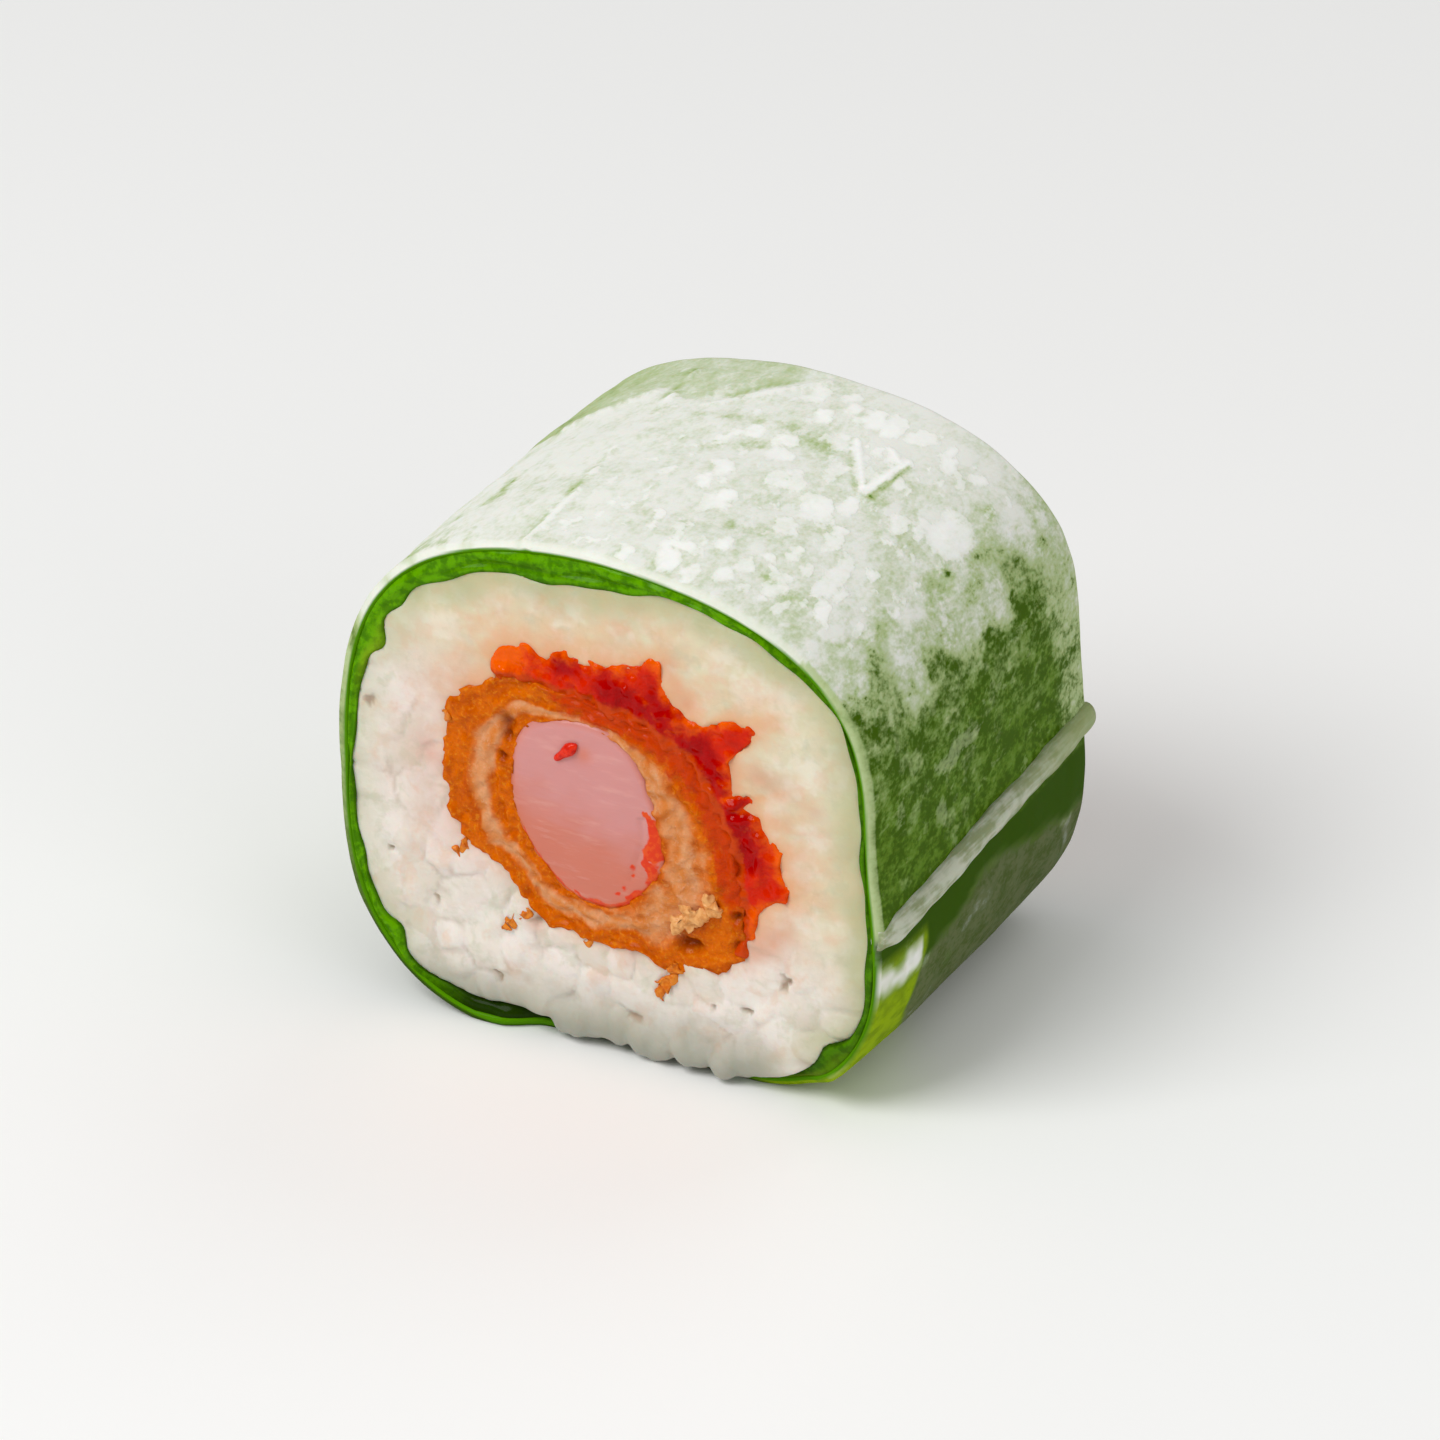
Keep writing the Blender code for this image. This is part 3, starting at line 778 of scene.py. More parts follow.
def copies(name: str, pattern: bpy.types.Object, turns: Sequence[Matrix]) -> bpy.types.Object:
    """Copies a small pattern many times into one mesh, and removes the pattern.

    Args:
        name: The joined mesh's name.
        pattern: The modelled piece to repeat.
        turns: Where each copy goes, with its turn and size.

    Returns:
        The joined copies.
    """
    base = np.c_[read_points(pattern), np.ones(len(pattern.data.vertices))]
    faces = [tuple(face.vertices) for face in pattern.data.polygons]
    points = np.concatenate([base @ np.array(turn, float).T for turn in turns])[:, :3]
    count = len(base)
    joined = bpy.data.meshes.new(name)
    joined.from_pydata(
        points.tolist(), [], [tuple(v + i * count for v in face) for i in range(len(turns)) for face in faces]
    )
    bpy.data.objects.remove(pattern)
    obj = bpy.data.objects.new(name, joined)
    bpy.context.scene.collection.objects.link(obj)
    return obj


def join(target: bpy.types.Object, others: Sequence[bpy.types.Object]) -> None:
    """Joins other mesh objects into the target."""
    select_only(target)
    for other in others:
        other.select_set(True)
    bpy.ops.object.join()


def fuse(obj: bpy.types.Object, voxel: float, passes: int) -> bpy.types.Object:
    """Melts the overlapping bodies of one mesh into a single soft skin, without its scraps and hollows.

    Args:
        obj: The joined bodies, in mm.
        voxel: How finely the skin follows them, in mm.
        passes: How often the skin is smoothed.

    Returns:
        The largest of the skins.
    """
    name = obj.name
    skin = obj.modifiers.new("skin", "REMESH")
    skin.mode = "VOXEL"
    skin.voxel_size = voxel
    soften = obj.modifiers.new("soften", "SMOOTH")
    soften.factor = 0.5
    soften.iterations = passes
    select_only(obj)
    for modifier in ("skin", "soften"):
        bpy.ops.object.modifier_apply(modifier=modifier)
    bpy.ops.object.mode_set(mode="EDIT")
    bpy.ops.mesh.separate(type="LOOSE")
    bpy.ops.object.mode_set(mode="OBJECT")
    *scraps, largest = sorted(bpy.context.selected_objects, key=lambda part: len(part.data.vertices))
    for scrap in scraps:
        bpy.data.objects.remove(scrap)
    largest.name = name
    return largest


def thin_out(obj: bpy.types.Object, half: float) -> None:
    """Takes detail out of a mesh where the other layers hide it, which is HIDDEN_DEPTH mm behind each cut.

    Args:
        obj: The mesh, in mm, of whose faces the HIDDEN_SHARE is left.
        half: How far the cuts lie from the roll's middle, in mm.
    """
    deep = np.flatnonzero(np.abs(read_points(obj)[:, 1]) < half - HIDDEN_DEPTH)
    hidden = obj.vertex_groups.new(name="hidden")
    hidden.add(deep.tolist(), 1.0, "REPLACE")
    thin = obj.modifiers.new("thin", "DECIMATE")
    thin.ratio = HIDDEN_SHARE
    thin.vertex_group = hidden.name
    select_only(obj)
    bpy.ops.object.modifier_apply(modifier=thin.name)
    obj.vertex_groups.clear()


@dataclass
class Piece:
    """One finished piece: a mesh in mm about the roll's axis, dressed and put in the frame."""

    section: Section

    def hand_over(self, obj: bpy.types.Object, finish: object, node: str) -> None:
        """Puts a mesh in place, gives it its finish and hides the CAD part that it stands for.

        Args:
            obj: The mesh, in mm about the roll's axis.
            finish: The finish, which builds a material.
            node: The CAD node that the piece replaces, which is hidden.
        """
        obj.data.transform(Matrix.Diagonal((MM, MM, MM, 1.0)) @ Matrix.Translation((self.section.axis_x, 0, 0)))
        obj.data.materials.clear()
        obj.data.materials.append(finish.build())
        obj.data.shade_smooth()
        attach(obj, BODY)
        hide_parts(node)
        log.info("%s: %d triangles", obj.name, sum(len(face.vertices) - 2 for face in obj.data.polygons))


@dataclass(frozen=True)
class Fold:
    """A crease, fold or painted shade line in the rice paper, from one place (angle, y) to another.

    Its strength is how white it is painted, partly as starch and partly as a painted highlight on the raised
    paper, or how dark its painted shade is.
    """

    start: tuple[float, float]
    stop: tuple[float, float]
    height: float
    width: float
    strength: float

    def nearness(self, degrees: Values, y: Values, radius: float) -> Values:
        """Finds how near points are to the fold's line.

        Args:
            degrees: Angles round the axis.
            y: Places along the axis in mm.
            radius: The wrap's mean radius in mm, which turns angles into lengths.

        Returns:
            1 on the line, falling to 0 over the fold's width.
        """
        reach = math.radians(1.0) * radius
        start = np.array((self.start[0] * reach, self.start[1]))
        line = np.array((self.stop[0] * reach, self.stop[1])) - start
        off = np.stack((degrees * reach, y), axis=1) - start
        share = np.clip(off @ line / (line @ line), 0.0, 1.0)
        return np.exp(-((np.hypot(*(off - share[:, None] * line).T) / self.width) ** 2))


@dataclass(frozen=True)
class Blotch:
    """A patch of thick starch on the film."""

    at: tuple[float, float]
    half_angle: float
    half_length: float
    white: float

    def cover(self, degrees: Values, y: Values) -> Values:
        """Returns how much of the blotch covers points, its full white inside and 0 outside."""
        off = np.hypot((degrees - self.at[0]) / self.half_angle, (y - self.at[1]) / self.half_length)
        return self.white * smooth(1.25, 0.7, off)


@dataclass
class RicePaperWrap(Piece):
    """The rice paper round the roll, with its creases, its torn flap and its rolled free edge.

    Sprinkles are starch specks: between which angles, how many, their least and most half angle, and how white.
    """

    thickness: float = 0.75
    around: int = 560
    rows_along: int = 150
    rows_inside: int = 8
    crowding: float = 0.5
    crowded_at: float = 45.0
    ripple: float = 0.12
    edge_front: float = -12.5
    edge_back: float = -8.0
    edge_radius: float = 0.9
    edge_rows: int = 90
    layer: float = 0.25
    # Each fold's strength whitens the film along it: partly starch, partly a painted highlight on the raised
    # paper.
    folds: tuple[Fold, ...] = (
        Fold((109.2, -17.7), (109.6, -9.0), 0.22, 0.2, 0.6),
        Fold((109.6, -9.0), (112.3, -1.0), 0.2, 0.2, 0.5), Fold((112.6, 5.4), (115.5, 14.5), 0.22, 0.2, 0.7),
        Fold((84.0, 6.0), (83.5, -3.0), 0.08, 0.3, 0.15), Fold((72.4, 9.1), (63.4, 3.3), 0.07, 0.25, 1.0),
        Fold((61.2, 9.4), (62.6, 3.6), 0.08, 0.36, 1.0), Fold((65.8, 9.9), (62.0, 8.6), 0.06, 0.28, 0.9),
        Fold((88.0, 16.0), (104.0, 8.0), 0.2, 0.5, 0.4), Fold((99.0, 15.5), (108.0, 9.5), 0.16, 0.35, 0.35),
        Fold((131.0, 4.5), (119.0, 9.5), 0.20, 0.5, 0.3),
    )
    blotches: tuple[Blotch, ...] = (
        Blotch((73.0, 12.8), 1.5, 1.6, 0.7), Blotch((67.0, -1.5), 2.2, 2.2, 0.6),
        Blotch((77.5, -0.3), 2.6, 1.4, 0.5), Blotch((68.5, -5.5), 2.2, 1.2, 0.5),
        Blotch((54.0, -7.0), 1.6, 2.2, 0.5), Blotch((61.0, -12.0), 1.8, 1.9, 0.5),
        Blotch((45.0, 5.0), 4.0, 2.9, 0.7), Blotch((22.0, 6.5), 1.2, 2.0, 0.22),
        Blotch((12.0, -4.5), 1.9, 4.2, 0.34), Blotch((2.0, -7.7), 3.6, 1.1, 0.3),
        Blotch((2.0, 2.0), 1.2, 1.9, 0.22), Blotch((8.5, -14.0), 3.4, 1.0, 0.24),
        Blotch((32.0, -2.5), 3.0, 1.5, 0.2), Blotch((-22.0, -12.5), 1.6, 2.2, 0.5),
    )
    # Painted shade lines: each darkens the film beside a fold or crease, by its strength.
    shadows: tuple[Fold, ...] = (
        Fold((60.3, 9.0), (61.0, 3.0), 0.0, 0.26, 0.55), Fold((62.4, 2.4), (58.0, 3.2), 0.0, 0.5, 0.4),
        Fold((73.4, 8.5), (64.4, 2.7), 0.0, 0.2, 0.25), Fold((110.2, -17.7), (110.5, -9.0), 0.0, 0.22, 0.3),
        Fold((110.5, -9.0), (113.2, -1.0), 0.0, 0.22, 0.3), Fold((113.6, 5.4), (116.5, 14.5), 0.0, 0.22, 0.3),
        Fold((97.0, 1.5), (88.0, 3.5), 0.0, 0.9, 0.25), Fold((86.0, 7.5), (74.0, 6.0), 0.0, 1.0, 0.25),
        Fold((94.0, 15.5), (103.0, 10.0), 0.0, 0.4, 0.22), Fold((106.0, 6.0), (92.0, 7.0), 0.0, 0.5, 0.2),
        Fold((76.0, -8.5), (71.0, -7.5), 0.0, 0.8, 0.25), Fold((62.0, -12.5), (56.5, -12.8), 0.0, 0.8, 0.25),
    )
    sprinkles: tuple[tuple[float, ...], ...] = (
        (46.0, 92.0, 60, 0.9, 2.2, 0.75), (42.0, 112.0, 150, 0.5, 1.1, 0.6), (-6.0, 44.0, 60, 0.6, 1.4, 0.22),
    )
    seed: int = 4

    def build(self) -> None:
        """Builds the film and its rolled edge."""
        self.hand_over(self.film(), DampRicePaper(), "rice_paper")
        self.hand_over(self.rolled_edge(), RolledPaper(), "rice_paper")

    def free_edge(self, along: Values) -> Values:
        """Returns the angle of the rolled edge."""
        return self.edge_back + (self.edge_front - self.edge_back) * ((1.0 - along) / 2.0) ** 2

    def near(self, fold: Fold, degrees: Values, y: Values) -> Values:
        """Returns how near points are to a fold's line, 1 on it."""
        return fold.nearness(degrees, y, self.section.mean_radius)

    def relief(self, degrees: Values, along: Values) -> Values:
        """Returns how far the film stands over the even wrap, in mm."""
        y = along * self.section.half
        turn = np.radians(degrees)
        ripple = self.ripple * np.sin(7.0 * turn + 0.21 * y) * np.cos(3.0 * turn + 0.33 * y)
        off = turned(degrees, 0.0) - self.free_edge(along)
        step = self.layer * smooth(0.0, -2.0, off) * smooth(-34.0, -20.0, off)
        x, z = self.section.at_depth(degrees, along, np.zeros_like(y))
        points = np.stack((x, y, z), axis=1)
        crumple = 0.10 * rough(points, 4.5, self.seed) + 0.05 * rough(points, 1.6, self.seed)
        folds = sum(fold.height * self.near(fold, degrees, y) for fold in self.folds)
        return (ripple + crumple + folds) * smooth(1.0, 6.0, z) - step

    def film(self) -> bpy.types.Object:
        """Models the film as a sleeve with a rounded cut rim.

        Returns:
            The film, in mm.
        """
        outer = [(s, 0.0) for s in np.linspace(-1.0, 1.0, self.rows_along)]
        rims = [(1.0, 0.3), (1.0, 0.65), (1.0, 1.0)]
        inner = [(s, 1.0) for s in np.linspace(0.98, -0.98, self.rows_inside)]

        def place(ring_angle: Values, along: Values, share: Values) -> tuple[Values, Values, Values]:
            off = turned(ring_angle, self.crowded_at)
            degrees = self.crowded_at + off - np.degrees(self.crowding * np.sin(np.radians(off)))
            rise = self.relief(degrees, along) * (1.0 - share)
            rounding = 0.3 * smooth(0.985, 1.0, np.abs(along)) * (1.0 - share)
            x, z = self.section.at_depth(degrees, along, share * self.thickness - rise + rounding)
            bulge = 0.1 * np.sin(np.pi * share) * np.sign(along)
            return x, self.section.end(degrees, along) + bulge, np.maximum(z, 0.0)

        rows = outer + rims + inner + [(-s, share) for s, share in reversed(rims)]
        film = wound_ring("paper_film", self.around, rows, place)
        self.dress(film)
        return film

    def dress(self, film: bpy.types.Object) -> None:
        """Marks where the film is milky, blotched, grey or missing, and where the leaf beneath is dark; its
        milkiness also holds painted shade lines beside the folds, part painted highlight over the top, and a
        painted lighter patch at the back right.

        Args:
            film: The film's mesh.
        """
        points = read_points(film)
        x, y, z = points.T
        degrees, reach = self.section.polar(x, z)
        depth = self.section.radius(degrees, y / self.section.half) - reach
        degrees = np.where(degrees < -100.0, degrees + 360.0, degrees)
        wander, fine = rough(points, 3.0, 3), rough(points, 1.1, 29)
        angle = degrees + 5.0 * wander + 2.5 * fine
        # The milkiness rises towards the top: partly the paper's own whiteness, partly a painted highlight
        # where the top faces the light.
        milky = np.interp(
            angle,
            (-100, -60, -8, 5, 20, 28, 35, 39, 42, 46, 55, 90, 120, 140, 150, 158, 170, 240),
            (
                0.0, 0.02, 0.03, 0.04, 0.09, 0.15, 0.22, 0.33, 0.55, 0.7, 0.75, 0.82, 0.86, 0.8, 0.7, 0.4, 0.22,
                0.05,
            ),
        )
        clouds = smooth(0.0, 0.4, rough(points, 4.5, 25))
        milky += 0.3 * clouds * smooth(22.0, 30.0, degrees) * smooth(46.0, 40.0, degrees)
        # Painted light: the film is whiter towards the back on the upper right, where the light falls off.
        milky += 0.12 * smooth(6.0, 12.0, y) * bump(degrees, 58.0, 12.0)
        layer_edge = np.interp(
            degrees, (88, 96, 104, 110, 118, 124, 133), (17.5, 13.5, 10.0, 8.0, 10.5, 6.5, 4.0)
        )
        bared = smooth(-0.3, 0.5, y + 0.9 * wander + 0.4 * fine - layer_edge)
        bared *= smooth(86.0, 98.0, degrees) * smooth(165.0, 145.0, degrees)
        milky -= bared * (0.34 + 0.2 * smooth(122.0, 134.0, degrees))
        right = smooth(-14.0, -8.0, degrees) * smooth(50.0, 30.0, degrees)
        milky += right * 0.25 * smooth(10.0, 16.5, y + wander)
        streaks = smooth(0.1, 0.4, rough(points * (1.0, 0.4, 1.0), 1.5, 23) * smooth(1.0, -5.0, y))
        milky -= 0.3 * streaks * smooth(112.0, 128.0, degrees) * (degrees < 160.0)
        # Painted shade beside the folds and creases.
        milky -= sum(shade.strength * self.near(shade, degrees, y) for shade in self.shadows)
        below = smooth(-11.5, -13.5, degrees)
        film_edge = np.interp(
            y, (-18, -10, -6, -1, 2, 8, 14, 18), (-23, -24, -22, -17, -17.5, -20.5, -23, -24)
        )
        grey = smooth(1.0, -1.5, degrees - film_edge + 1.5 * wander) * below * smooth(-100.0, -70.0, degrees)
        bare_edge = np.interp(
            -degrees, (18, 21, 25, 32, 40, 46, 51), (-10.5, -10.4, -11.5, -12.1, -9.5, -4.0, 3.0)
        )
        bare = smooth(0.4, -0.4, y - bare_edge) * smooth(-17.0, -19.0, degrees) * smooth(-62.0, -54.0, degrees)
        tip = smooth(0.6, -0.6, y + 10.8 + 2.0 * wander) * bump(degrees, -21.0 + 3.0 * wander + fine, 1.9)
        rim = smooth(0.42, 0.15, np.abs(np.abs(y) - self.section.half))
        pale_rim = rim * smooth(-62.0, -50.0, degrees) * smooth(50.0, 30.0, degrees)
        milky = np.where(pale_rim > 0.1, np.clip(milky, 0.3 * pale_rim, 0.34), milky)
        milky += 0.25 * grey * (1.0 - bare) * smooth(0.0, 0.5, wander) + 0.9 * tip
        flecked = np.interp(milky, (0.0, 0.2, 0.5, 1.0), (0.35, 0.6, 1.0, 1.0))
        mottled = np.interp(milky, (0.0, 0.1, 0.3, 0.5, 0.7, 1.0), (0.09, 0.2, 0.42, 0.65, 0.5, 0.35))
        mottled *= (1.0 - 0.5 * bared) * smooth(250.0, 215.0, degrees) * smooth(-75.0, -55.0, degrees)
        starch = self.starched(degrees, y, wander, fine)
        mark(
            film,
            veil=milky * (1.0 - bare * (1.0 - tip) * (1.0 - rim)),
            fleck=flecked * (1.0 - rim) * (1.0 - bare) * smooth(-13.0, -9.0, degrees),
            mottle=mottled * (1.0 - bare) * (1.0 - 0.8 * rim),
            starch=starch * (1.0 - rim) * (1.0 - 0.5 * bared) * smooth(-26.0, -24.0, degrees),
            deep=np.maximum(below, smooth(185.0, 225.0, angle)) * (1.0 - grey) * (1.0 - bare),
            grey=grey * (1.0 - bare),
            bare=bare * (1.0 - tip),
            inner=smooth(0.42, 0.52, depth) * (1.0 - smooth(-60.0, -70.0, degrees)),
        )

    def starched(self, degrees: Values, y: Values, wander: Values, fine: Values) -> Values:
        """Finds how thick the starch lies: on the folds, where its white is partly a painted highlight on the
        raised paper, in the blotches and in the sprinkled specks.

        Args:
            degrees: Each point's angle.
            y: Each point's place along the axis in mm.
            wander: Coarse noise that shakes the blotches' outlines.
            fine: Fine noise that does the same.

        Returns:
            Shares between 0 and 1.
        """
        rng = np.random.default_rng(self.seed)
        specks = list(self.blotches)
        for low, high, count, least, most, white in self.sprinkles:
            for _ in range(count):
                centre = (rng.uniform(low, high), rng.uniform(-17.0, 15.0))
                size = rng.uniform(least, most)
                specks.append(Blotch(centre, size, size * rng.uniform(0.4, 0.9), white * rng.uniform(0.5, 1.0)))
        drift, slide = degrees + 1.2 * wander + 1.3 * fine, y + 0.5 * wander + 0.5 * fine
        starch = np.max([fold.strength * self.near(fold, degrees, y) for fold in self.folds], axis=0)
        for speck in specks:
            starch = np.maximum(starch, speck.cover(drift, slide))
        return starch

    def rolled_edge(self) -> bpy.types.Object:
        """Models the paper's free edge, rolled into an uneven cord that lies on the film.

        Returns:
            The cord, in mm.
        """
        rows = [(-1.0, 0.0)] + [(s, 1.0) for s in np.linspace(-1.0, 1.0, self.edge_rows)] + [(1.0, 0.0)]

        def place(degrees: Values, along: Values, share: Values) -> tuple[Values, Values, Values]:
            centre = self.free_edge(along)
            tip = smooth(-1.0, -0.86, along)
            y = along * self.section.half
            swell = 1.0 + 0.05 * np.sin(0.7 * y) + 0.03 * np.sin(1.9 * y + 1.0)
            radius = self.edge_radius * swell * (0.7 + 0.3 * tip)
            middle = self.section.radius(centre, along) + 0.15 * tip - 0.2
            x = middle * np.cos(np.radians(centre)) + share * radius * 0.9 * np.cos(np.radians(degrees))
            z = middle * np.sin(np.radians(centre)) + share * radius * 1.2 * np.sin(np.radians(degrees))
            return x, y, z + self.section.centre_z

        cord = shaped_ball("paper_edge", 20, rows, place)
        mark(cord, back=0.7 * smooth(2.0, 15.0, read_points(cord)[:, 1]))
        return cord


@dataclass
class LettuceLeaf(Piece):
    """The lettuce leaf between the paper and the rice, folded and thick at the top of the cut.

    Each fold thickens it: at which angle, by how many mm and how wide.
    """

    depth: float = 0.66
    thickness: float = 0.5
    around: int = 480
    folds: tuple[Triple, ...] = (
        (106.0, 1.85, 13.0), (84.0, 0.4, 8.0), (132.0, 0.75, 8.0), (149.0, 0.6, 8.0), (143.2, 0.4, 2.2),
        (153.7, 1.0, 2.3), (160.5, 0.5, 3.0), (60.0, 0.35, 12.0), (15.0, -0.15, 30.0), (-157.0, 0.35, 2.5),
        (-140.0, 1.0, 2.2), (-118.0, 0.6, 6.0), (-106.0, 0.5, 5.0), (-18.0, 0.25, 9.0), (-38.5, 0.9, 2.2),
        (-46.0, 0.6, 6.0),
    )

    def build(self) -> None:
        """Builds the leaf."""
        rows = wall_rows((-1.0, -0.97, -0.8, 0.0, 0.8, 0.97, 1.0), np.linspace(0.0, 1.0, 13)[1:-1])
        leaf = wound_ring("lettuce_leaf", self.around, rows, self.place)
        self.dress(leaf)
        self.hand_over(leaf, FreshLettuce(), "lettuce")

    def wall(self, degrees: Values) -> Values:
        """Returns the leaf's thickness in mm, unevenly ruffled."""
        turn = np.radians(degrees)
        ruffle = 0.12 * np.sin(9.0 * turn) + 0.10 * np.sin(17.0 * turn + 1.0) + 0.06 * np.sin(31.0 * turn)
        return self.thickness + sum(e * bump(degrees, at, spread) for at, e, spread in self.folds) + ruffle

    def pockets(self, degrees: Values, spread: float) -> Values:
        """Returns the two pockets at the lower left, sunk in and dark with painted shade, the first of them
        with its spread.
        """
        return bump(degrees, -119.0, spread) + bump(degrees, -106.0, 6.0)

    def place(self, degrees: Values, along: Values, share: Values) -> tuple[Values, Values, Values]:
        """Gives the leaf's points for the ring that it is wound from."""
        x, z = self.section.at_depth(degrees, along, self.depth + share * self.wall(degrees))
        turn = np.radians(degrees)
        uneven = 0.14 * np.sin(13.0 * turn + 4.0 * share) + 0.10 * np.sin(29.0 * turn)
        crown = 0.2 * np.sin(np.pi * share) ** 0.5 - 0.12 + uneven * np.sin(np.pi * share)
        groove = 0.3 * np.exp(-(((share - 0.6) / 0.1) ** 2)) * bump(degrees, 104.0, 20.0)
        sunk = 0.7 * self.pockets(degrees, 7.0) * share
        cut = np.sign(along) * smooth(0.99, 1.0, np.abs(along))
        return x, self.section.end(degrees, along) + cut * (crown - groove - sunk), z

    def dress(self, leaf: bpy.types.Object) -> None:
        """Marks the painted shade along the fold lines, at the edge against the rice, in the pockets and on the
        right side, and the pale corners.

        Args:
            leaf: The leaf's mesh.
        """
        points = read_points(leaf)
        x, y, z = points.T
        degrees, reach = self.section.polar(x, z)
        outside = self.section.radius(degrees, y / self.section.half)
        share = (outside - reach - self.depth) / self.wall(degrees)
        wander = rough(points, 2.0, 7)
        fold = np.exp(-(((share - 0.6 - 0.25 * wander) / 0.1) ** 2)) * bump(degrees, 108.0, 22.0)
        pockets = self.pockets(degrees, 8.0) + 0.5 * bump(degrees, -74.0, 16.0)
        outer = smooth(0.22, 0.0, share) * smooth(75.0, 40.0, degrees) * smooth(-40.0, -20.0, degrees)
        right = smooth(62.0, 40.0, degrees) * smooth(-66.0, -50.0, degrees)
        corner = bump(degrees, -52.0, 9.0) * smooth(-0.5, 0.3, wander + 0.1) * smooth(0.7, 0.3, share)
        # Painted shade: a line at the edge against the rice, the fold, the pockets, the outer edge on the right
        # and the right side, which faces away from the light.
        shade = 0.45 * smooth(0.8, 1.0, share) + 0.35 * fold + 0.95 * pockets + 0.6 * outer + 0.45 * right
        patch = bump(degrees, 157.0, 5.0) * smooth(0.3, 0.8, share)
        mark(leaf, shade=shade, pale=0.8 * corner + 0.5 * patch)


@dataclass(frozen=True)
class Grain:
    """One grain of rice on a cut: where its middle is, how it lies and how large it is."""

    x: float
    y: float
    z: float
    lie: float
    tilt: float
    size: Triple
    tone: float

    def matrix(self) -> Matrix:
        """Returns the matrix that places a grain of length, width and height 1."""
        turn = Matrix.Rotation(-self.lie, 4, "Y") @ Matrix.Rotation(self.tilt, 4, "Z")
        flat = Matrix.Rotation(math.pi / 2.0, 4, "X")
        return Matrix.Translation((self.x, self.y, self.z)) @ turn @ flat @ Matrix.Diagonal((*self.size, 1.0))

    def distance(self, x: Values, z: Values) -> Values:
        """Returns how far points of the cut are from the grain's middle, 1 on its outline."""
        across, up = x - self.x, z - self.z
        along = across * math.cos(self.lie) + up * math.sin(self.lie)
        side = up * math.cos(self.lie) - across * math.sin(self.lie)
        half = 0.5 * max(self.size[0] * math.cos(self.tilt), self.size[1])
        return np.hypot(along / half, side / (0.5 * self.size[1]))


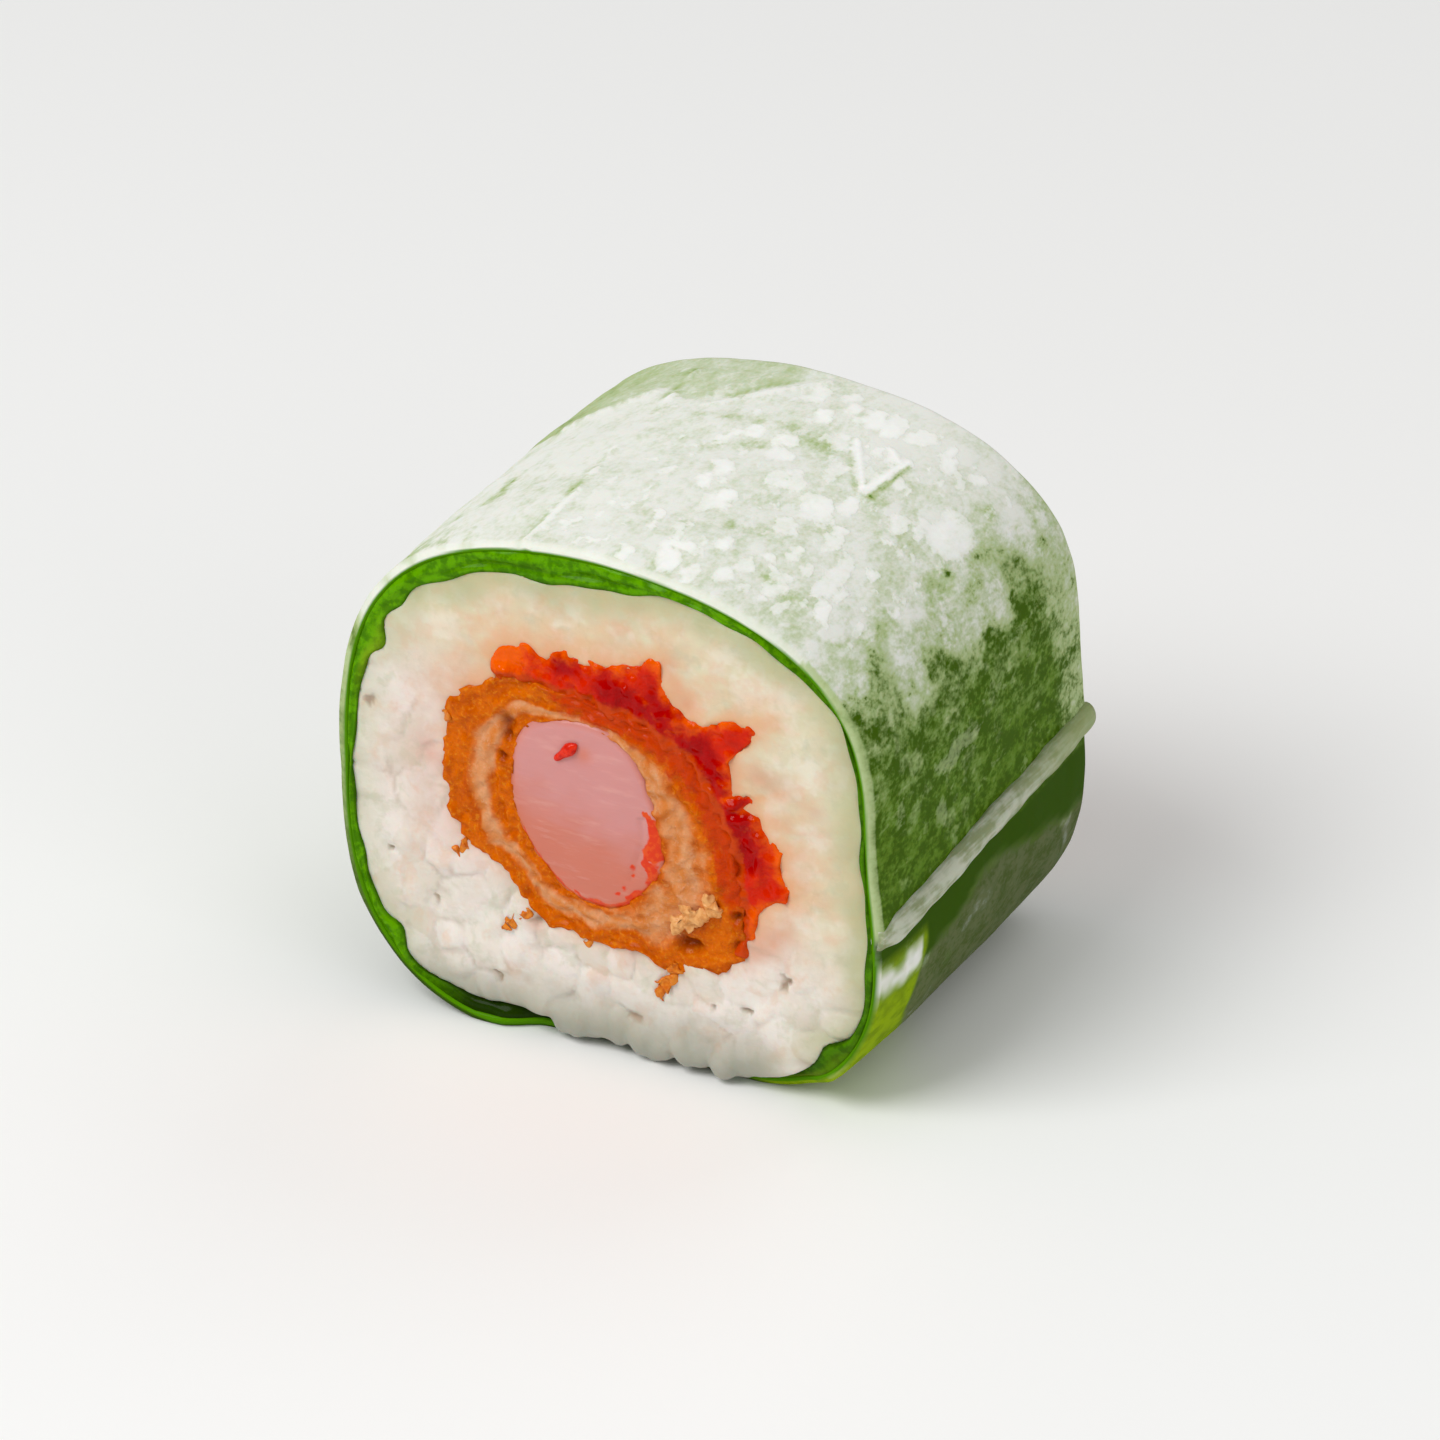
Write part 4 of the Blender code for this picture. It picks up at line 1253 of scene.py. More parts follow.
@dataclass
class RiceBed(Piece):
    """The pressed rice between the leaf and the filling: real grains melted into a soft core."""

    leaf: LettuceLeaf
    grain_length: float = 5.4
    grain_width: float = 2.8
    grain_height: float = 2.3
    spacing: float = 2.1
    tries: int = 9000
    sink: float = 0.3
    overlap: float = 0.15
    voxel: float = 0.27
    smoothing: int = 4
    around: int = 300
    spare: float = 0.85
    upright_share: float = 0.4
    cut_layer: float = 3.0
    seed: int = 8
    pits: tuple[Triple, ...] = (
        (14.0, 9.0, 0.55), (14.3, 9.6, 0.35), (9.0, 6.1, 0.3), (11.3, 6.3, 0.35), (-18.7, 23.0, 0.5),
        (2.8, 3.5, 0.5), (-5.2, 9.3, 0.4), (-16.8, 12.1, 0.3), (-13.0, 8.8, 0.35), (-8.2, 4.0, 0.35),
    )
    smears: tuple[Triple, ...] = (
        (13.3, 13.2, 1.7), (12.2, 10.8, 1.2), (9.0, 24.6, 1.5), (12.0, 24.4, 1.8), (15.8, 23.2, 0.9),
        (10.5, 22.6, 0.9), (4.7, 31.2, 1.0), (6.2, 29.5, 1.2), (-5.3, 8.9, 0.8), (2.0, 8.4, 0.9),
        (-13.8, 20.5, 1.2),
    )

    def build(self) -> None:
        """Builds the bed of rice."""
        rng = np.random.default_rng(self.seed)
        grains = [grain for cut in Cut for grain in (*self.laid(cut, rng), *self.spilled(cut, rng))]
        bed = self.core()
        join(bed, [copies("grains", self.grain(), [grain.matrix() for grain in grains])])
        bed = fuse(bed, self.voxel, self.smoothing)
        thin_out(bed, self.section.half)
        points = read_points(bed)
        crack, tone = self.between(grains, points)
        write_points(bed, self.pressed(self.held_in(points), crack))
        self.dress(bed, points, crack, tone)
        self.hand_over(bed, CookedRice(), "rice")

    def outer_depth(self, degrees: Values) -> Values:
        """Returns how deep the rice's outer face lies under the wrap."""
        return self.leaf.depth + self.leaf.wall(degrees)

    def hole(self, degrees: Values) -> Values:
        """Returns the radius of the rice's inner wall about the filling's centre."""
        return np.maximum(BATTER.radius(degrees) - 0.05, SAUCE.radius(degrees) - self.overlap)

    def under_leaf(self, points: Values) -> Values:
        """Returns how far points lie inside the rice's outer face, in mm."""
        x, y, z = points.T
        degrees, reach = self.section.polar(x, z)
        return self.section.radius(degrees, y / self.section.half) - reach - self.outer_depth(degrees)

    def core(self) -> bpy.types.Object:
        """Models the core, whose faces lie a little behind the cuts.

        Returns:
            The core, in mm.
        """
        def place(degrees: Values, along: Values, share: Values) -> tuple[Values, Values, Values]:
            shoulder = 0.1 * smooth(0.95, 1.0, np.abs(along)) - 0.1
            x, z = self.section.at_depth(degrees, along, self.outer_depth(degrees) + shoulder)
            about, _ = BATTER.polar(x, z)
            x_in, z_in = BATTER.point(about, self.hole(about))
            return x + (x_in - x) * share, along * (self.section.half - self.sink), z + (z_in - z) * share

        rows = wall_rows((-1.0, -0.95, -0.8, 0.0, 0.8, 0.95, 1.0))
        return wound_ring("rice_bed", self.around, rows, place)

    def grain(self) -> bpy.types.Object:
        """Models one cooked grain: a ball drawn out, a little bent, and narrower at one end.

        Returns:
            A grain of length, width and height 1.
        """
        select_only()
        bpy.ops.mesh.primitive_uv_sphere_add(segments=12, ring_count=8, radius=0.5)
        grain = bpy.context.object
        with edit_mode(grain):
            bpy.ops.transform.rotate(value=math.pi / 2.0, orient_axis="Y", center_override=(0.0, 0.0, 0.0))
        points = read_points(grain)
        points[:, 2] += 0.35 * points[:, 0] ** 2 - 0.04
        points[:, 1] *= 1.0 - 0.25 * points[:, 0]
        write_points(grain, points)
        return grain

    def in_bed(self, x: float, z: float, spare: float) -> bool:
        """Returns True if a point lies in the rice, that far from its walls."""
        degrees, reach = self.section.polar(x, z)
        depth = self.outer_depth(degrees) + spare
        about, radius = BATTER.polar(x, z)
        inside = reach <= self.section.radius(degrees, -1.0) - depth and z >= depth
        return bool(inside and radius > self.hole(about) + spare)

    def laid(self, cut: Cut, rng: np.random.Generator) -> Iterator[Grain]:
        """Spreads grains over a cut.

        Args:
            cut: Which cut.
            rng: The seeded source of every draw.

        Yields:
            The grains.
        """
        taken: list[tuple[float, float]] = []
        for _ in range(self.tries):
            x, z = rng.uniform(-21.0, 21.0), rng.uniform(0.5, 38.5)
            near = any(math.hypot(x - a, z - b) < self.spacing for a, b in taken)
            if near or not self.in_bed(x, z, self.spare):
                continue
            taken.append((x, z))
            on_end = rng.random() < self.upright_share
            tilt = rng.uniform(0.9, 1.5) if on_end else rng.normal(0.0, 0.2)
            length = self.grain_length * rng.uniform(0.8, 1.1) * (0.7 if on_end else 1.0)
            depth = 0.5 * (length if on_end else self.grain_height) - rng.uniform(0.15, 0.45)
            size = (length, self.grain_width * rng.uniform(0.9, 1.1), self.grain_height)
            y = cut.value * (self.section.half - depth)
            yield Grain(x, y, z, rng.uniform(0.0, math.pi), tilt, size, rng.random())

    def spilled(self, cut: Cut, rng: np.random.Generator) -> Iterator[Grain]:
        """Lays the grains that hang over the wrap's lower edge.

        Args:
            cut: Which cut.
            rng: The seeded source of every draw.

        Yields:
            The grains.
        """
        for x in np.arange(-3.4, 13.2, 1.6):
            size = (self.grain_length * rng.uniform(0.55, 0.8), self.grain_width * rng.uniform(0.75, 1.0), 2.6)
            y = cut.value * (self.section.half - 0.9 + rng.uniform(-0.35, 0.15))
            lift = 0.5 * size[0] + 0.25 + 0.3 * rng.random() + 0.5 * float(smooth(10.5, 13.0, x))
            lie = math.pi / 2.0 + rng.normal(0.0, 0.35)
            yield Grain(x + rng.uniform(-0.3, 0.3), y, lift, lie, rng.normal(0.0, 0.15), size, rng.random())

    def between(self, grains: Sequence[Grain], points: Values) -> tuple[Values, Values]:
        """Finds the cracks between the grains of each cut, and each grain's own tone.

        Args:
            grains: All grains.
            points: The bed's points in mm.

        Returns:
            For each point, 1 in a crack and 0 on a grain, and the tone of the nearest grain.
        """
        crack, tone = np.zeros((2, len(points)))
        for cut in Cut:
            here = np.flatnonzero(points[:, 1] * cut.value > self.section.half - self.cut_layer)
            near = [grain for grain in grains if grain.y * cut.value > 0.0]
            x, z = (
                points[here, axis] + 0.25 * rough(points[here], 0.9, seed) for axis, seed in ((0, 1), (2, 2))
            )
            distances = np.stack([grain.distance(x, z) for grain in near])
            order = np.argsort(distances, axis=0)
            first, second = (np.take_along_axis(distances, order[i : i + 1], axis=0)[0] for i in (0, 1))
            crack[here] = smooth(0.32, 0.0, second - first) * smooth(0.5, 1.0, second)
            tone[here] = np.array([grain.tone for grain in near])[order[0]]
        return crack, tone

    def knifed(self, points: Values) -> Values:
        """Returns how far the knife has smeared the grains flat, all of it at the top and right."""
        x, _, z = points.T
        return np.maximum(smooth(17.0, 26.0, z + 0.2 * x), smooth(13.0, 15.5, x) * smooth(7.0, 11.0, z))

    def pitted(self, points: Values) -> Values:
        """Returns how far points lie in the small pits of the shown cut."""
        x, z = (points[:, axis] + 0.45 * rough(points, 0.8, seed) for axis, seed in ((0, 41), (2, 42)))
        return spots(x, z, self.pits) * (points[:, 1] < 0.0)

    def held_in(self, points: Values) -> Values:
        """Pushes back what sticks through the leaf, but not the grains that spill over the lower edge.

        Args:
            points: The bed's points in mm.

        Returns:
            The moved points.
        """
        x, y, z = points.T
        degrees, reach = self.section.polar(x, z)
        along = np.clip(y / self.section.half, -1.0, 1.0)
        limit = self.section.radius(degrees, along) - self.outer_depth(degrees) + 0.08
        held = (reach > limit) & (np.abs(turned(degrees, self.section.spill_angle)) > 36.0)
        share = np.where(held, limit / reach, 1.0)
        return np.stack((x * share, y, self.section.centre_z + (z - self.section.centre_z) * share), axis=1)

    def pressed(self, points: Values, crack: Values) -> Values:
        """Presses the cuts flat where the knife went, and sinks cracks and pits between grains.

        Args:
            points: The bed's points in mm.
            crack: How far each point lies in a crack.

        Returns:
            The moved points.
        """
        half = self.section.half
        x, y, z = points.T
        knifed = self.knifed(points)
        face = smooth(half - 1.5, half - 0.8, np.abs(y))
        flat = half - 0.12 + 0.12 * rough(points, 2.6, 4)
        keep = 0.32 - 0.24 * knifed + 0.5 * smooth(4.5, 2.0, z)
        about, radius = BATTER.polar(x, z)
        degrees, _ = self.section.polar(x, z)
        spill = smooth(28.0, 34.0, np.abs(turned(degrees, self.section.spill_angle)))
        over = np.maximum(
            smooth(-0.1, -0.5, radius - self.hole(about)), smooth(0.0, -0.4, self.under_leaf(points)) * spill
        )
        patchy = smooth(-0.3, 0.4, rough(points, 4.0, 43))
        sink = (0.16 - 0.12 * knifed) * crack * patchy + 0.4 * self.pitted(points) + 0.9 * over
        moved = points.copy()
        moved[:, 1] -= np.sign(y) * face * ((np.abs(y) - flat) * (1.0 - keep) + sink)
        return moved

    def dress(self, bed: bpy.types.Object, points: Values, crack: Values, tone: Values) -> None:
        """Marks the stains, the tint near the leaf, the painted shade in the cracks and pits and towards the
        bottom, and each grain's own tone.

        Args:
            bed: The bed's mesh.
            points: Its points in mm, before pressing.
            crack: How far each point lies in a crack.
            tone: The tone of the grain that each point belongs to.
        """
        x, _, z = points.T
        about, radius = BATTER.polar(x, z)
        wander, drift = rough(points, 2.4, 5), rough(points, 3.5, 9)
        knifed = self.knifed(points)
        off = np.maximum(radius - self.hole(about) + 0.8 * wander, 0.0)
        saucy = smooth(-40.0, -15.0, about) * smooth(155.0, 130.0, about)
        reach = 0.8 + 2.3 * saucy * (0.75 + 0.6 * wander + 0.7 * rough(points * (1.0, 1.0, 1.6), 1.1, 6))
        left = 0.22 * smooth(7.0, 1.5, off) * smooth(120.0, 150.0, np.abs(about)) * smooth(10.0, 14.0, z)
        tinted = 0.3 + 0.4 * smooth(10.0, 24.0, z + 0.8 * x)
        # Painted shade in the cracks between grains, in patches and weaker where the knife smeared them.
        lines = crack * (0.38 - 0.33 * knifed) * smooth(-0.1, 0.4, wander)
        mark(
            bed,
            stain=(0.34 + 0.42 * saucy) * np.exp(-((off / np.maximum(reach, 0.4)) ** 1.3)),
            pink=0.42 * spots(x, z, self.smears) * smooth(-0.4, 0.4, wander) + left,
            leafward=tinted * smooth(3.2, 0.2, self.under_leaf(points) + 0.9 * wander) * smooth(0.0, 6.0, z),
            cream=smooth(15.0, 26.0, z + 0.5 * x),
            # Painted shade: greyer towards the bottom of the cut.
            low=0.9 * smooth(6.5, 1.0, z + 0.8 * wander) * smooth(15.5, 12.0, x),
            tone=tone * (1.0 - 0.6 * knifed) + 0.3 * knifed * (0.5 + drift),
            # Painted shade in the cracks and the pits.
            crack=lines + 0.85 * smooth(0.35, 0.75, self.pitted(points)),
        )


@dataclass
class SauceCrescent(Piece):
    """The chilli sauce on the batter: a pulpy crescent that runs from cut to cut."""

    step: float = 0.8
    blob: float = 0.5
    voxel: float = 0.19
    smoothing: int = 3
    blobs_per_cut: int = 150
    pulp: float = 0.3
    seed: int = 21
    thick: tuple[Triple, ...] = (
        (-3.6, 29.8, 1.0), (0.2, 28.4, 1.3), (3.3, 27.8, 1.7), (6.3, 26.0, 1.7), (7.8, 24.0, 1.3),
        (10.0, 20.6, 1.7), (11.2, 18.4, 1.2), (-6.8, 28.0, 0.7),
    )

    def build(self) -> None:
        """Builds the sauce."""
        rng = np.random.default_rng(self.seed)
        sauce = self.body()
        select_only()
        bpy.ops.mesh.primitive_ico_sphere_add(subdivisions=2, radius=1.0)
        join(sauce, [copies("blobs", bpy.context.object, list(self.blobs(rng)))])
        sauce = fuse(sauce, self.voxel, self.smoothing)
        thin_out(sauce, self.section.half)
        points = read_points(sauce)
        near_cut = smooth(1.5, 0.6, self.section.half - np.abs(points[:, 1]))
        lumps = rough(points, 1.3, 31) + 0.8 * rough(points, 0.6, 32)
        about, radius = BATTER.polar(points[:, 0], points[:, 2])
        inner = smooth(0.35, -0.5, radius - BATTER.radius(about) + 0.4 * lumps)
        points[:, 1] += np.sign(points[:, 1]) * near_cut * (self.pulp * lumps - 0.4 * inner)
        write_points(sauce, points)
        self.dress(sauce)
        self.hand_over(sauce, ChilliSauce(), "sauce")

    def body(self) -> bpy.types.Object:
        """Models the sauce's body by extruding its section round the batter, step by step.

        Returns:
            The body, in mm.
        """
        half = self.section.half - 0.05
        angles = np.arange(*SAUCE_ENDS, self.step)
        select_only()
        bpy.ops.mesh.primitive_circle_add(vertices=4, radius=1.0, fill_type="NGON")
        body = bpy.context.object
        body.name = "chilli_sauce"
        with edit_mode(body):
            for _ in angles[1:]:
                bpy.ops.mesh.extrude_region_move(TRANSFORM_OT_translate={"value": (0.0, 0.0, 1.0)})
        points = read_points(body)
        degrees = angles[np.round(points[:, 2]).astype(int)]
        corner = np.round(np.degrees(np.arctan2(points[:, 1], points[:, 0])) / 90.0).astype(int) % 4
        outer, front = (corner == 1) | (corner == 2), (corner == 0) | (corner == 1)
        radius = BATTER.radius(degrees) - 0.5 + np.where(outer, sauce_depth(degrees) + 0.5, 0.0)
        x, z = BATTER.point(degrees, radius)
        ragged = 0.15 + 0.5 * rough(np.stack((x, np.where(front, 0.0, 9.0), z), axis=1), 0.9, 35)
        x, z = BATTER.point(degrees, radius + np.where(outer, ragged, 0.0))
        write_points(body, np.stack((x, np.where(front, -half, half), z), axis=1))
        face_out(body)
        return body

    def blobs(self, rng: np.random.Generator) -> Iterator[Matrix]:
        """Spreads lumps of pulp over the sauce's cuts.

        Args:
            rng: The seeded source of every draw.

        Yields:
            The place and size of each lump.
        """
        for cut in Cut:
            for _ in range(self.blobs_per_cut):
                degrees = rng.uniform(*SAUCE_ENDS)
                size = self.blob * rng.uniform(0.6, 1.5)
                depth = rng.random() * max(float(sauce_depth(degrees)) - 0.6 * size, 0.1)
                x, z = BATTER.point(degrees, float(BATTER.radius(degrees)) + depth)
                y = cut.value * (self.section.half - 0.8 * size + rng.uniform(0.0, 0.15))
                yield Matrix.Translation((x, y, z)) @ Matrix.Diagonal((size, size, size, 1.0))

    def dress(self, sauce: bpy.types.Object) -> None:
        """Marks where the sauce is thick and deep red, thin and so orange, or mixed with the batter's oil.

        Args:
            sauce: The sauce's mesh.
        """
        x, _, z = read_points(sauce).T
        about, radius = BATTER.polar(x, z)
        rim = smooth(1.6, -0.2, SAUCE.radius(about) - radius)
        ends = smooth(103.0, 120.0, about) + 0.8 * smooth(-8.0, -24.0, about)
        oily = smooth(1.3, 0.2, radius - BATTER.radius(about))
        mark(sauce, thin=0.55 * rim + 0.5 * ends, oily=oily, deep=spots(x, z, self.thick))


@dataclass
class TempuraBatter(Piece):
    """The fried batter: a craggy crust with a pale doughy ring inside.

    Each dough band is an angle, where the ring's middle lies as a share of the wall, and its half width.
    """

    around: int = 360
    crag: float = 0.4
    holes: tuple[Triple, ...] = (
        (-7.8, 24.2, 0.55), (-7.6, 23.3, 0.4), (-8.0, 21.6, 0.35), (6.4, 10.4, 0.6), (7.3, 10.6, 0.5),
        (10.5, 11.2, 0.45), (10.3, 13.6, 0.35),
    )
    dough_bands: tuple[Triple, ...] = (
        (-180.0, 0.52, 0.2), (-135.0, 0.48, 0.22), (-90.0, 0.42, 0.28), (-45.0, 0.33, 0.36), (0.0, 0.3, 0.38),
        (40.0, 0.25, 0.35), (60.0, 0.2, 0.26), (90.0, 0.14, 0.2), (135.0, 0.42, 0.18), (180.0, 0.52, 0.2),
    )

    def build(self) -> None:
        """Builds the batter."""
        alongs = (-1.0, -0.97, -0.9, -0.6, 0.0, 0.6, 0.9, 0.97, 1.0)
        rows = wall_rows(alongs, np.linspace(0.0, 1.0, 34)[1:-1])
        batter = wound_ring("tempura_batter", self.around, rows, self.place)
        self.dress(batter)
        self.hand_over(batter, FriedBatter(), "batter")

    def outside(self, degrees: Values, along: Values) -> Values:
        """Returns the crust's craggy radius in mm."""
        x, z = BATTER.point(degrees, BATTER.radius(degrees))
        points = np.stack((x, 6.0 * along, z), axis=1)
        crags = rough(points, 1.3, 17) + 0.6 * rough(points, 0.5, 18)
        return BATTER.radius(degrees) + 0.3 + self.crag * crags

    def inside(self, degrees: Values) -> Values:
        """Returns the radius of the meat's outline, about the batter's centre."""
        about, radius = BATTER.polar(*SHRIMP.point(degrees, SHRIMP.radius(degrees) - 0.2))
        order = np.argsort(about)
        return np.interp(degrees, about[order], radius[order], period=360.0)

    def place(self, degrees: Values, along: Values, share: Values) -> tuple[Values, Values, Values]:
        """Gives the batter's points for the ring that it is wound from."""
        outside, inside = self.outside(degrees, along), self.inside(degrees)
        x, z = BATTER.point(degrees, outside + (inside - outside) * share)
        cut = smooth(0.99, 1.0, np.abs(along))
        points = np.stack((x, along, z), axis=1)
        lumps = 0.3 * rough(points, 1.5, 2) + 0.28 * rough(points, 0.6, 3)
        ridges = 0.05 * np.sin(2.0 * np.pi * 3.5 * (share + 0.15 * rough(points, 3.0, 8)))
        rounding = 0.12 * smooth(0.06, 0.0, share)
        y = along * self.section.half + np.sign(along) * cut * (lumps + ridges - rounding + 0.03)
        return x, y + np.where(along < 0.0, 0.7, 0.0) * spots(x, z, self.holes) * cut, z

    def dress(self, batter: bpy.types.Object) -> None:
        """Marks the dough, its layers, the painted shade in the holes and where sauce has soaked in.

        Args:
            batter: The batter's mesh.
        """
        points = read_points(batter)
        x, y, z = points.T
        about, radius = BATTER.polar(x, z)
        inside = self.inside(about)
        share = (radius - inside) / (BATTER.radius(about) - inside)
        angle, centre, width = np.array(self.dough_bands).T
        off = share - np.interp(about, angle, centre) - 0.12 * rough(points, 2.2, 8)
        polar = np.stack((share * 8.0, y / 6.0, np.abs(about) / 9.0), axis=1)
        soaked = smooth(2.4, 0.3, SAUCE.radius(about) - 0.5 - radius) * (sauce_depth(about) > 0.2)
        soaked = np.maximum(soaked, smooth(2.8, 0.2, BATTER.radius(about) - radius))
        mark(
            batter,
            dough=np.exp(-((off / np.interp(about, angle, width)) ** 2)),
            streak=0.5 + 0.5 * rough(polar, 1.0, 14),
            # Painted shade in the holes of the shown cut.
            hole=0.85 * spots(x, z, self.holes) * (y < 0.0),
            sauced=soaked * smooth(-32.0, -5.0, about) * smooth(126.0, 90.0, about),
        )


@dataclass
class ShrimpTail(Piece):
    """The shrimp's tail meat, cut across, with a bit of red vein on the shown cut."""

    vein: tuple[tuple[float, float], tuple[float, float]] = ((-3.8, 22.5), (-2.1, 24.1))
    vein_radius: float = 0.42
    around: int = 220
    rings: int = 28
    skin: tuple[Triple, ...] = (
        (3.3, 19.9, 0.2), (3.9, 18.9, 0.5), (4.1, 17.8, 0.7), (3.8, 16.9, 0.6), (3.3, 16.2, 0.3),
        (4.0, 15.2, 0.25),
    )
    thin_skin: tuple[Triple, ...] = (
        (4.4, 17.0, 0.3), (4.1, 15.2, 0.3), (3.2, 13.8, 0.3), (2.0, 12.5, 0.3), (0.6, 12.0, 0.25),
        (-1.5, 12.0, 0.2), (-3.2, 12.8, 0.2), (-4.8, 14.3, 0.15), (-6.2, 16.4, 0.15),
    )
    dots: tuple[Triple, ...] = (
        (2.5, 15.5, 0.22), (2.4, 14.9, 0.2), (1.7, 13.7, 0.25), (1.3, 13.2, 0.2), (2.6, 13.4, 0.25),
        (2.0, 13.0, 0.2),
    )
    groove: tuple[Triple, ...] = (
        (2.9, 19.3, 0.2), (3.1, 17.6, 0.2), (2.6, 15.6, 0.2), (2.2, 14.6, 0.15),
    )
    tan_spot: Triple = (-1.7, 23.3, 0.6)

    def build(self) -> None:
        """Builds the meat and the red bit."""
        shares = np.linspace(0.0, 1.0, self.rings)
        rows = [(-1.0, share) for share in shares] + [(s, 1.0) for s in (-0.97, -0.9, 0.0, 0.9, 0.97)]
        rows += [(1.0, share) for share in shares[::-1]]
        meat = shaped_ball("shrimp_meat", self.around, rows, self.place)
        self.dress(meat)
        self.hand_over(meat, CookedShrimp(), "shrimp")
        self.hand_over(self.red_bit(), PlainCrumb("red chilli bit", "#E22C0A", "#C81400", 0.3), "shrimp")

    def place(self, degrees: Values, along: Values, share: Values) -> tuple[Values, Values, Values]:
        """Gives the meat's points for the ball that it is shaped from."""
        x, z = SHRIMP.point(degrees, share * SHRIMP.radius(degrees))
        cut = smooth(0.99, 1.0, np.abs(along))
        crown = 0.12 + 0.22 * (1.0 - share**2) - 0.12 * smooth(0.93, 1.0, share)
        points = np.stack((x, along, z), axis=1)
        soft = 0.08 * rough(points, 3.0, 6) + 0.04 * rough(points, 1.1, 7)
        y = along * self.section.half + np.sign(along) * cut * (crown + soft)
        return x, y + np.where(along < 0.0, 0.12, 0.0) * stroke(x, z, self.groove) * cut, z

    def dress(self, meat: bpy.types.Object) -> None:
        """Marks the deeper pink below, the rim's thin line and the orange skin.

        Args:
            meat: The meat's mesh.
        """
        points = read_points(meat)
        x, y, z = points.T
        about, radius = SHRIMP.polar(x, z)
        share = radius / SHRIMP.radius(about)
        low = smooth(22.0, 12.5, z + 0.3 * x + rough(points, 1.5, 15))
        line = smooth(0.93, 0.985, share) * (0.25 + 0.75 * bump(about, -75.0, 50.0))
        rim = line + 0.35 * smooth(0.85, 1.0, share) * bump(about, -160.0, 40.0)
        rim += 0.5 * spots(x, z, (self.tan_spot,))
        x, z = x + 0.35 * rough(points, 0.9, 19), z + 0.35 * rough(points, 0.9, 16)
        marks = 0.9 * spots(x, z, self.dots) * (y < 0.0)
        skin = stroke(x, z, self.skin) + 0.6 * stroke(x, z, self.thin_skin) + marks
        mark(meat, low=low, rim=rim, skin=skin)

    def red_bit(self) -> bpy.types.Object:
        """Models the small red bit that lies on the meat.

        Returns:
            The bit, in mm.
        """
        (x0, z0), (x1, z1) = self.vein
        lean = math.atan2(z1 - z0, x1 - x0)
        rows = [(s, math.sqrt(max(1.0 - s * s, 0.0))) for s in np.cos(np.linspace(math.pi, 0.0, 11))]

        def place(degrees: Values, along: Values, share: Values) -> tuple[Values, Values, Values]:
            across = share * self.vein_radius * (1.0 + 0.25 * np.sin(4.0 * along))
            side = across * np.cos(np.radians(degrees))
            x = (x0 + x1) / 2.0 + along * (x1 - x0) / 2.0 - side * math.sin(lean)
            z = (z0 + z1) / 2.0 + along * (z1 - z0) / 2.0 + side * math.cos(lean)
            return x, -self.section.half - 0.36 + 0.8 * across * np.sin(np.radians(degrees)), z

        return shaped_ball("red_bit", 14, rows, place)


@dataclass
class Crumbs(Piece):
    """Loose bits of tempura on the shown cut: pale crumbs and orange flakes."""

    pale: tuple[Triple, ...] = (
        (6.3, 12.2, 0.7), (7.0, 12.9, 0.8), (7.7, 13.1, 0.6), (5.9, 11.6, 0.5), (8.5, 13.9, 0.6),
        (8.2, 14.5, 0.4),
    )
    orange: tuple[Triple, ...] = (
        (-7.6, 8.0, 0.35), (-7.2, 8.7, 0.4), (-6.6, 9.2, 0.4), (-6.0, 9.7, 0.5), (-11.5, 13.2, 0.35),
        (-10.9, 13.8, 0.5), (4.6, 6.1, 0.5), (5.0, 6.8, 0.5), (5.5, 7.5, 0.45), (5.7, 8.2, 0.5),
        (-12.6, 23.6, 0.4), (-1.0, 8.7, 0.4),
    )
    ragged: float = 0.4
    seed: int = 3

    def build(self) -> None:
        """Builds both kinds of bits."""
        pale = PlainCrumb("pale tempura crumb", "#E4A868", "#D08A48")
        orange = PlainCrumb("orange tempura flake", "#DC8224", "#C8620A")
        self.hand_over(self.bits("pale_crumbs", self.pale, 0.35), pale, "batter")
        self.hand_over(self.bits("orange_flakes", self.orange, 0.1), orange, "batter")

    def bits(self, name: str, places: Sequence[Triple], proud: float) -> bpy.types.Object:
        """Models rough bits from balls, each knocked out of shape.

        Args:
            name: The piece's name.
            places: x, z and size of each bit, in mm.
            proud: How far they stand out of the cut, in mm.

        Returns:
            The bits as one mesh, in mm.
        """
        rng = np.random.default_rng(self.seed)
        select_only()
        bpy.ops.mesh.primitive_ico_sphere_add(subdivisions=3, radius=1.0)
        turns = []
        for x, z, size in places:
            turn = Matrix.Rotation(rng.uniform(0.0, math.pi), 4, "Y")
            place = Matrix.Translation((x, -self.section.half - proud + 0.2, z))
            turns.append(place @ turn @ Matrix.Diagonal((1.25 * size, 0.45 * size, 0.85 * size, 1.0)))
        bits = copies(name, bpy.context.object, turns)
        points = read_points(bits)
        shift = np.stack([rough(points, 0.5, seed) for seed in (11, 12, 13)], axis=1)
        write_points(bits, points + self.ragged * shift)
        return bits


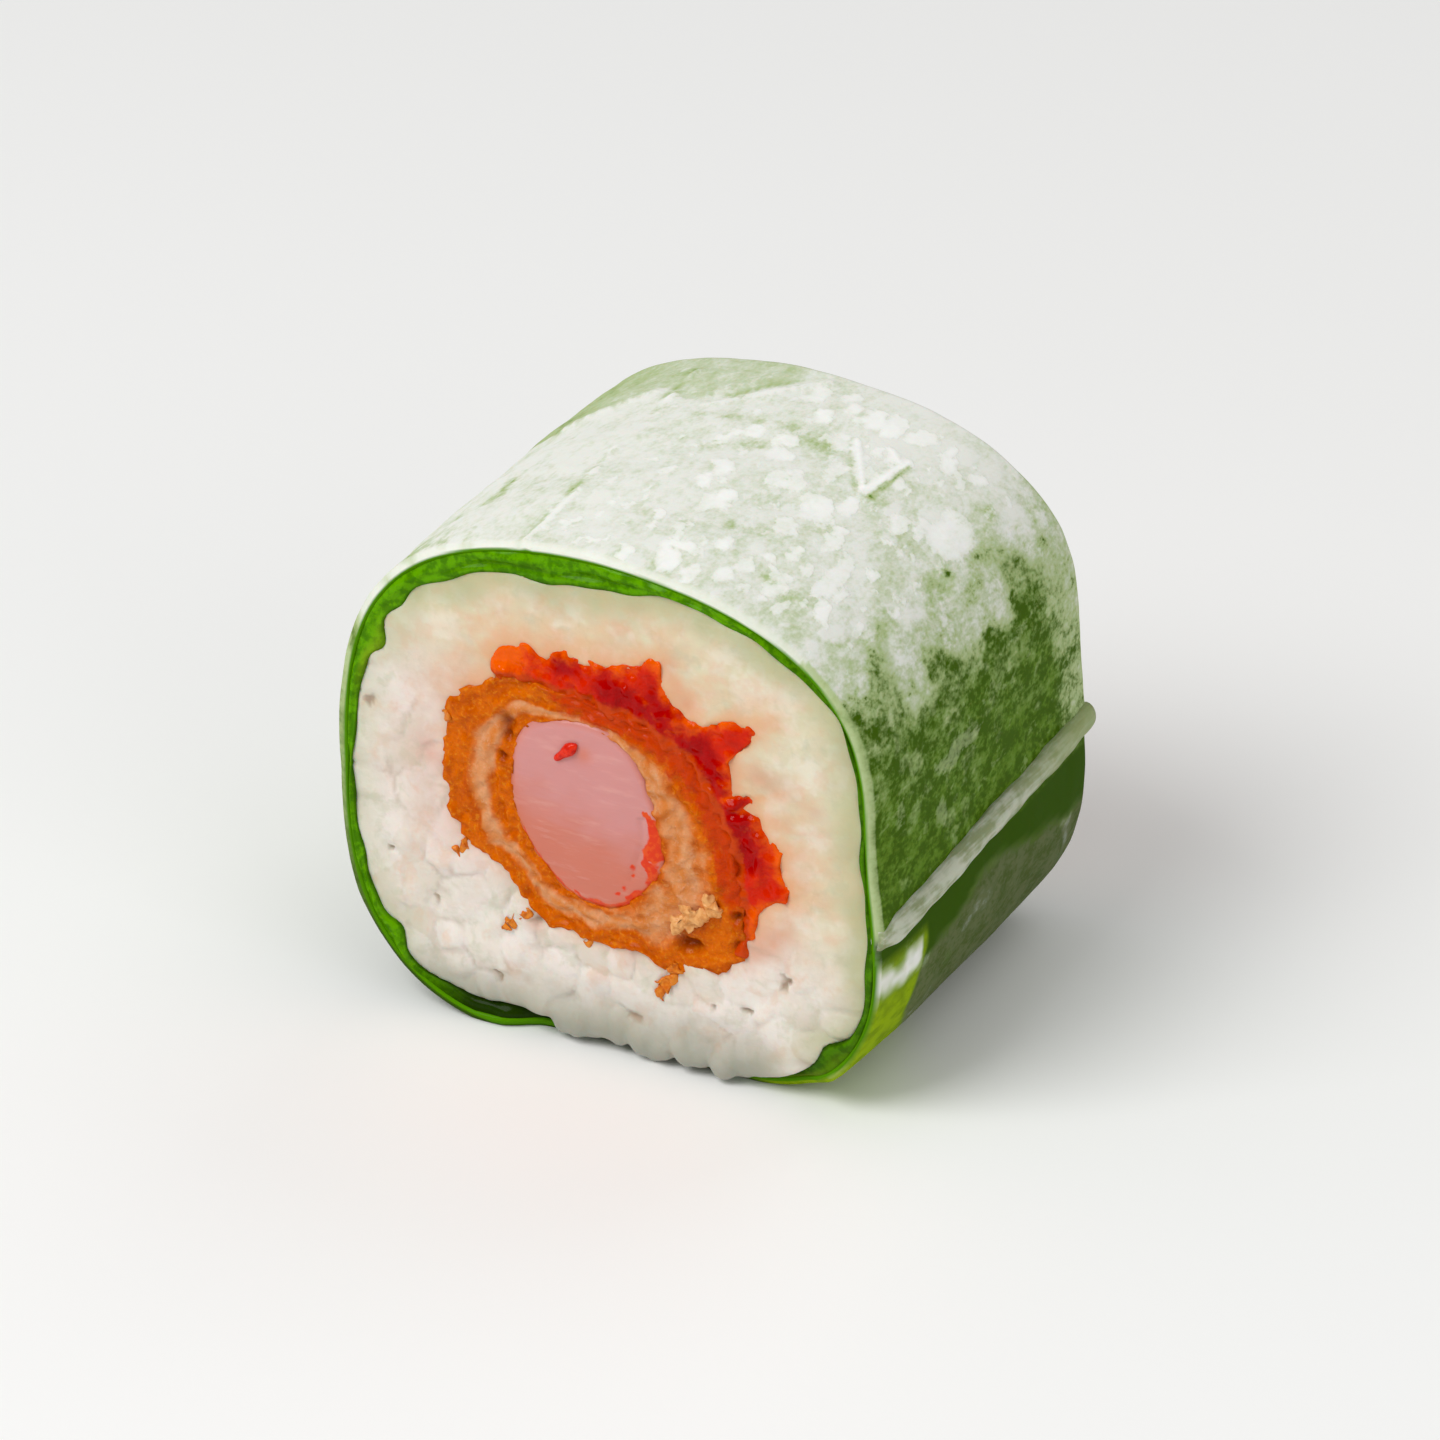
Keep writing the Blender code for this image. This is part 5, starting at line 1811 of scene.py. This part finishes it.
@dataclass(frozen=True)
class Studio:
    """A pale floor, soft light and a camera where the photograph was taken from.

    Each lamp is a soft square: its name, where it stands in mm, and its power in watts.
    """

    section: Section
    azimuth: float = 25.19
    elevation: float = 26.88
    roll: float = 1.81
    distance: float = 547.7
    lens: float = 200.0
    look_x: float = 8.607
    look_z: float = 28.49
    lamp_size: float = 520.0
    sky: float = 0.45
    floor_size: float = 4000.0
    lamps: tuple[tuple[str, Triple, float], ...] = (
        ("key", (-320.0, -520.0, 660.0), 5.2), ("fill", (660.0, -360.0, 320.0), 1.0),
        ("back", (120.0, 600.0, 520.0), 0.8),
    )

    def build(self) -> None:
        """Sets up the floor, the light and the camera."""
        self.floor()
        for lamp in self.lamps:
            self.light(*lamp)
        world = bpy.data.worlds.new("studio")
        world.use_nodes = True
        background = world.node_tree.nodes["Background"]
        background.inputs["Color"].default_value = (1.0, 1.0, 1.0, 1.0)
        background.inputs["Strength"].default_value = self.sky
        world.cycles_visibility.glossy = False
        bpy.context.scene.world = world
        bpy.context.scene.view_settings.view_transform = "Standard"
        self.camera()

    def floor(self) -> None:
        """Lays a plain pale floor under the roll."""
        select_only()
        bpy.ops.mesh.primitive_plane_add(size=self.floor_size * MM, location=(0.0, 0.0, 0.0))
        floor = bpy.context.object
        floor.name = "floor"
        paint = Paint("pale floor")
        colour = paint.blend(paint.grains(200.0), "#F6F6F4", "#F9F9F8")
        floor.data.materials.append(paint.finish(colour, 0.6, 0.5))

    def light(self, name: str, place: Triple, power: float) -> None:
        """Adds a lamp that looks at the roll.

        Args:
            name: The light's name.
            place: Where it stands, in mm.
            power: Its power in watts.
        """
        data = bpy.data.lights.new(name, "AREA")
        data.size = self.lamp_size * MM
        data.energy = power
        lamp = bpy.data.objects.new(name, data)
        lamp.location = Vector(place) * MM
        aim = Vector((0.0, 0.0, self.section.centre_z)) * MM - lamp.location
        lamp.rotation_euler = aim.to_track_quat("-Z", "Y").to_euler()
        bpy.context.scene.collection.objects.link(lamp)

    def camera(self) -> None:
        """Puts the camera at the photograph's place and angle."""
        a, e = math.radians(self.azimuth), math.radians(self.elevation)
        back = Vector((math.sin(a) * math.cos(e), -math.cos(a) * math.cos(e), math.sin(e)))
        look = Vector((self.look_x + self.section.axis_x, -self.section.half, self.look_z))
        data = bpy.data.cameras.new("camera")
        data.lens = self.lens
        data.clip_end = 10.0
        camera = bpy.data.objects.new("camera", data)
        level = (-back).to_track_quat("-Z", "Y").to_matrix().to_4x4()
        turn = Matrix.Rotation(math.radians(self.roll), 4, "Z")
        camera.matrix_world = Matrix.Translation((look + back * self.distance) * MM) @ level @ turn
        bpy.context.scene.collection.objects.link(camera)
        bpy.context.scene.camera = camera


def main() -> None:
    """Builds the roll from the outside in, then the studio round it."""
    logging.basicConfig(level=logging.INFO, format="%(name)s: %(message)s")
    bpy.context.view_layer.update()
    section = Section.from_frame()
    leaf = LettuceLeaf(section)
    layers = (
        RicePaperWrap(section), leaf, RiceBed(section, leaf), SauceCrescent(section), TempuraBatter(section),
        ShrimpTail(section), Crumbs(section),
    )
    for layer in layers:
        layer.build()
    Studio(section).build()


if __name__ == "__main__":
    main()
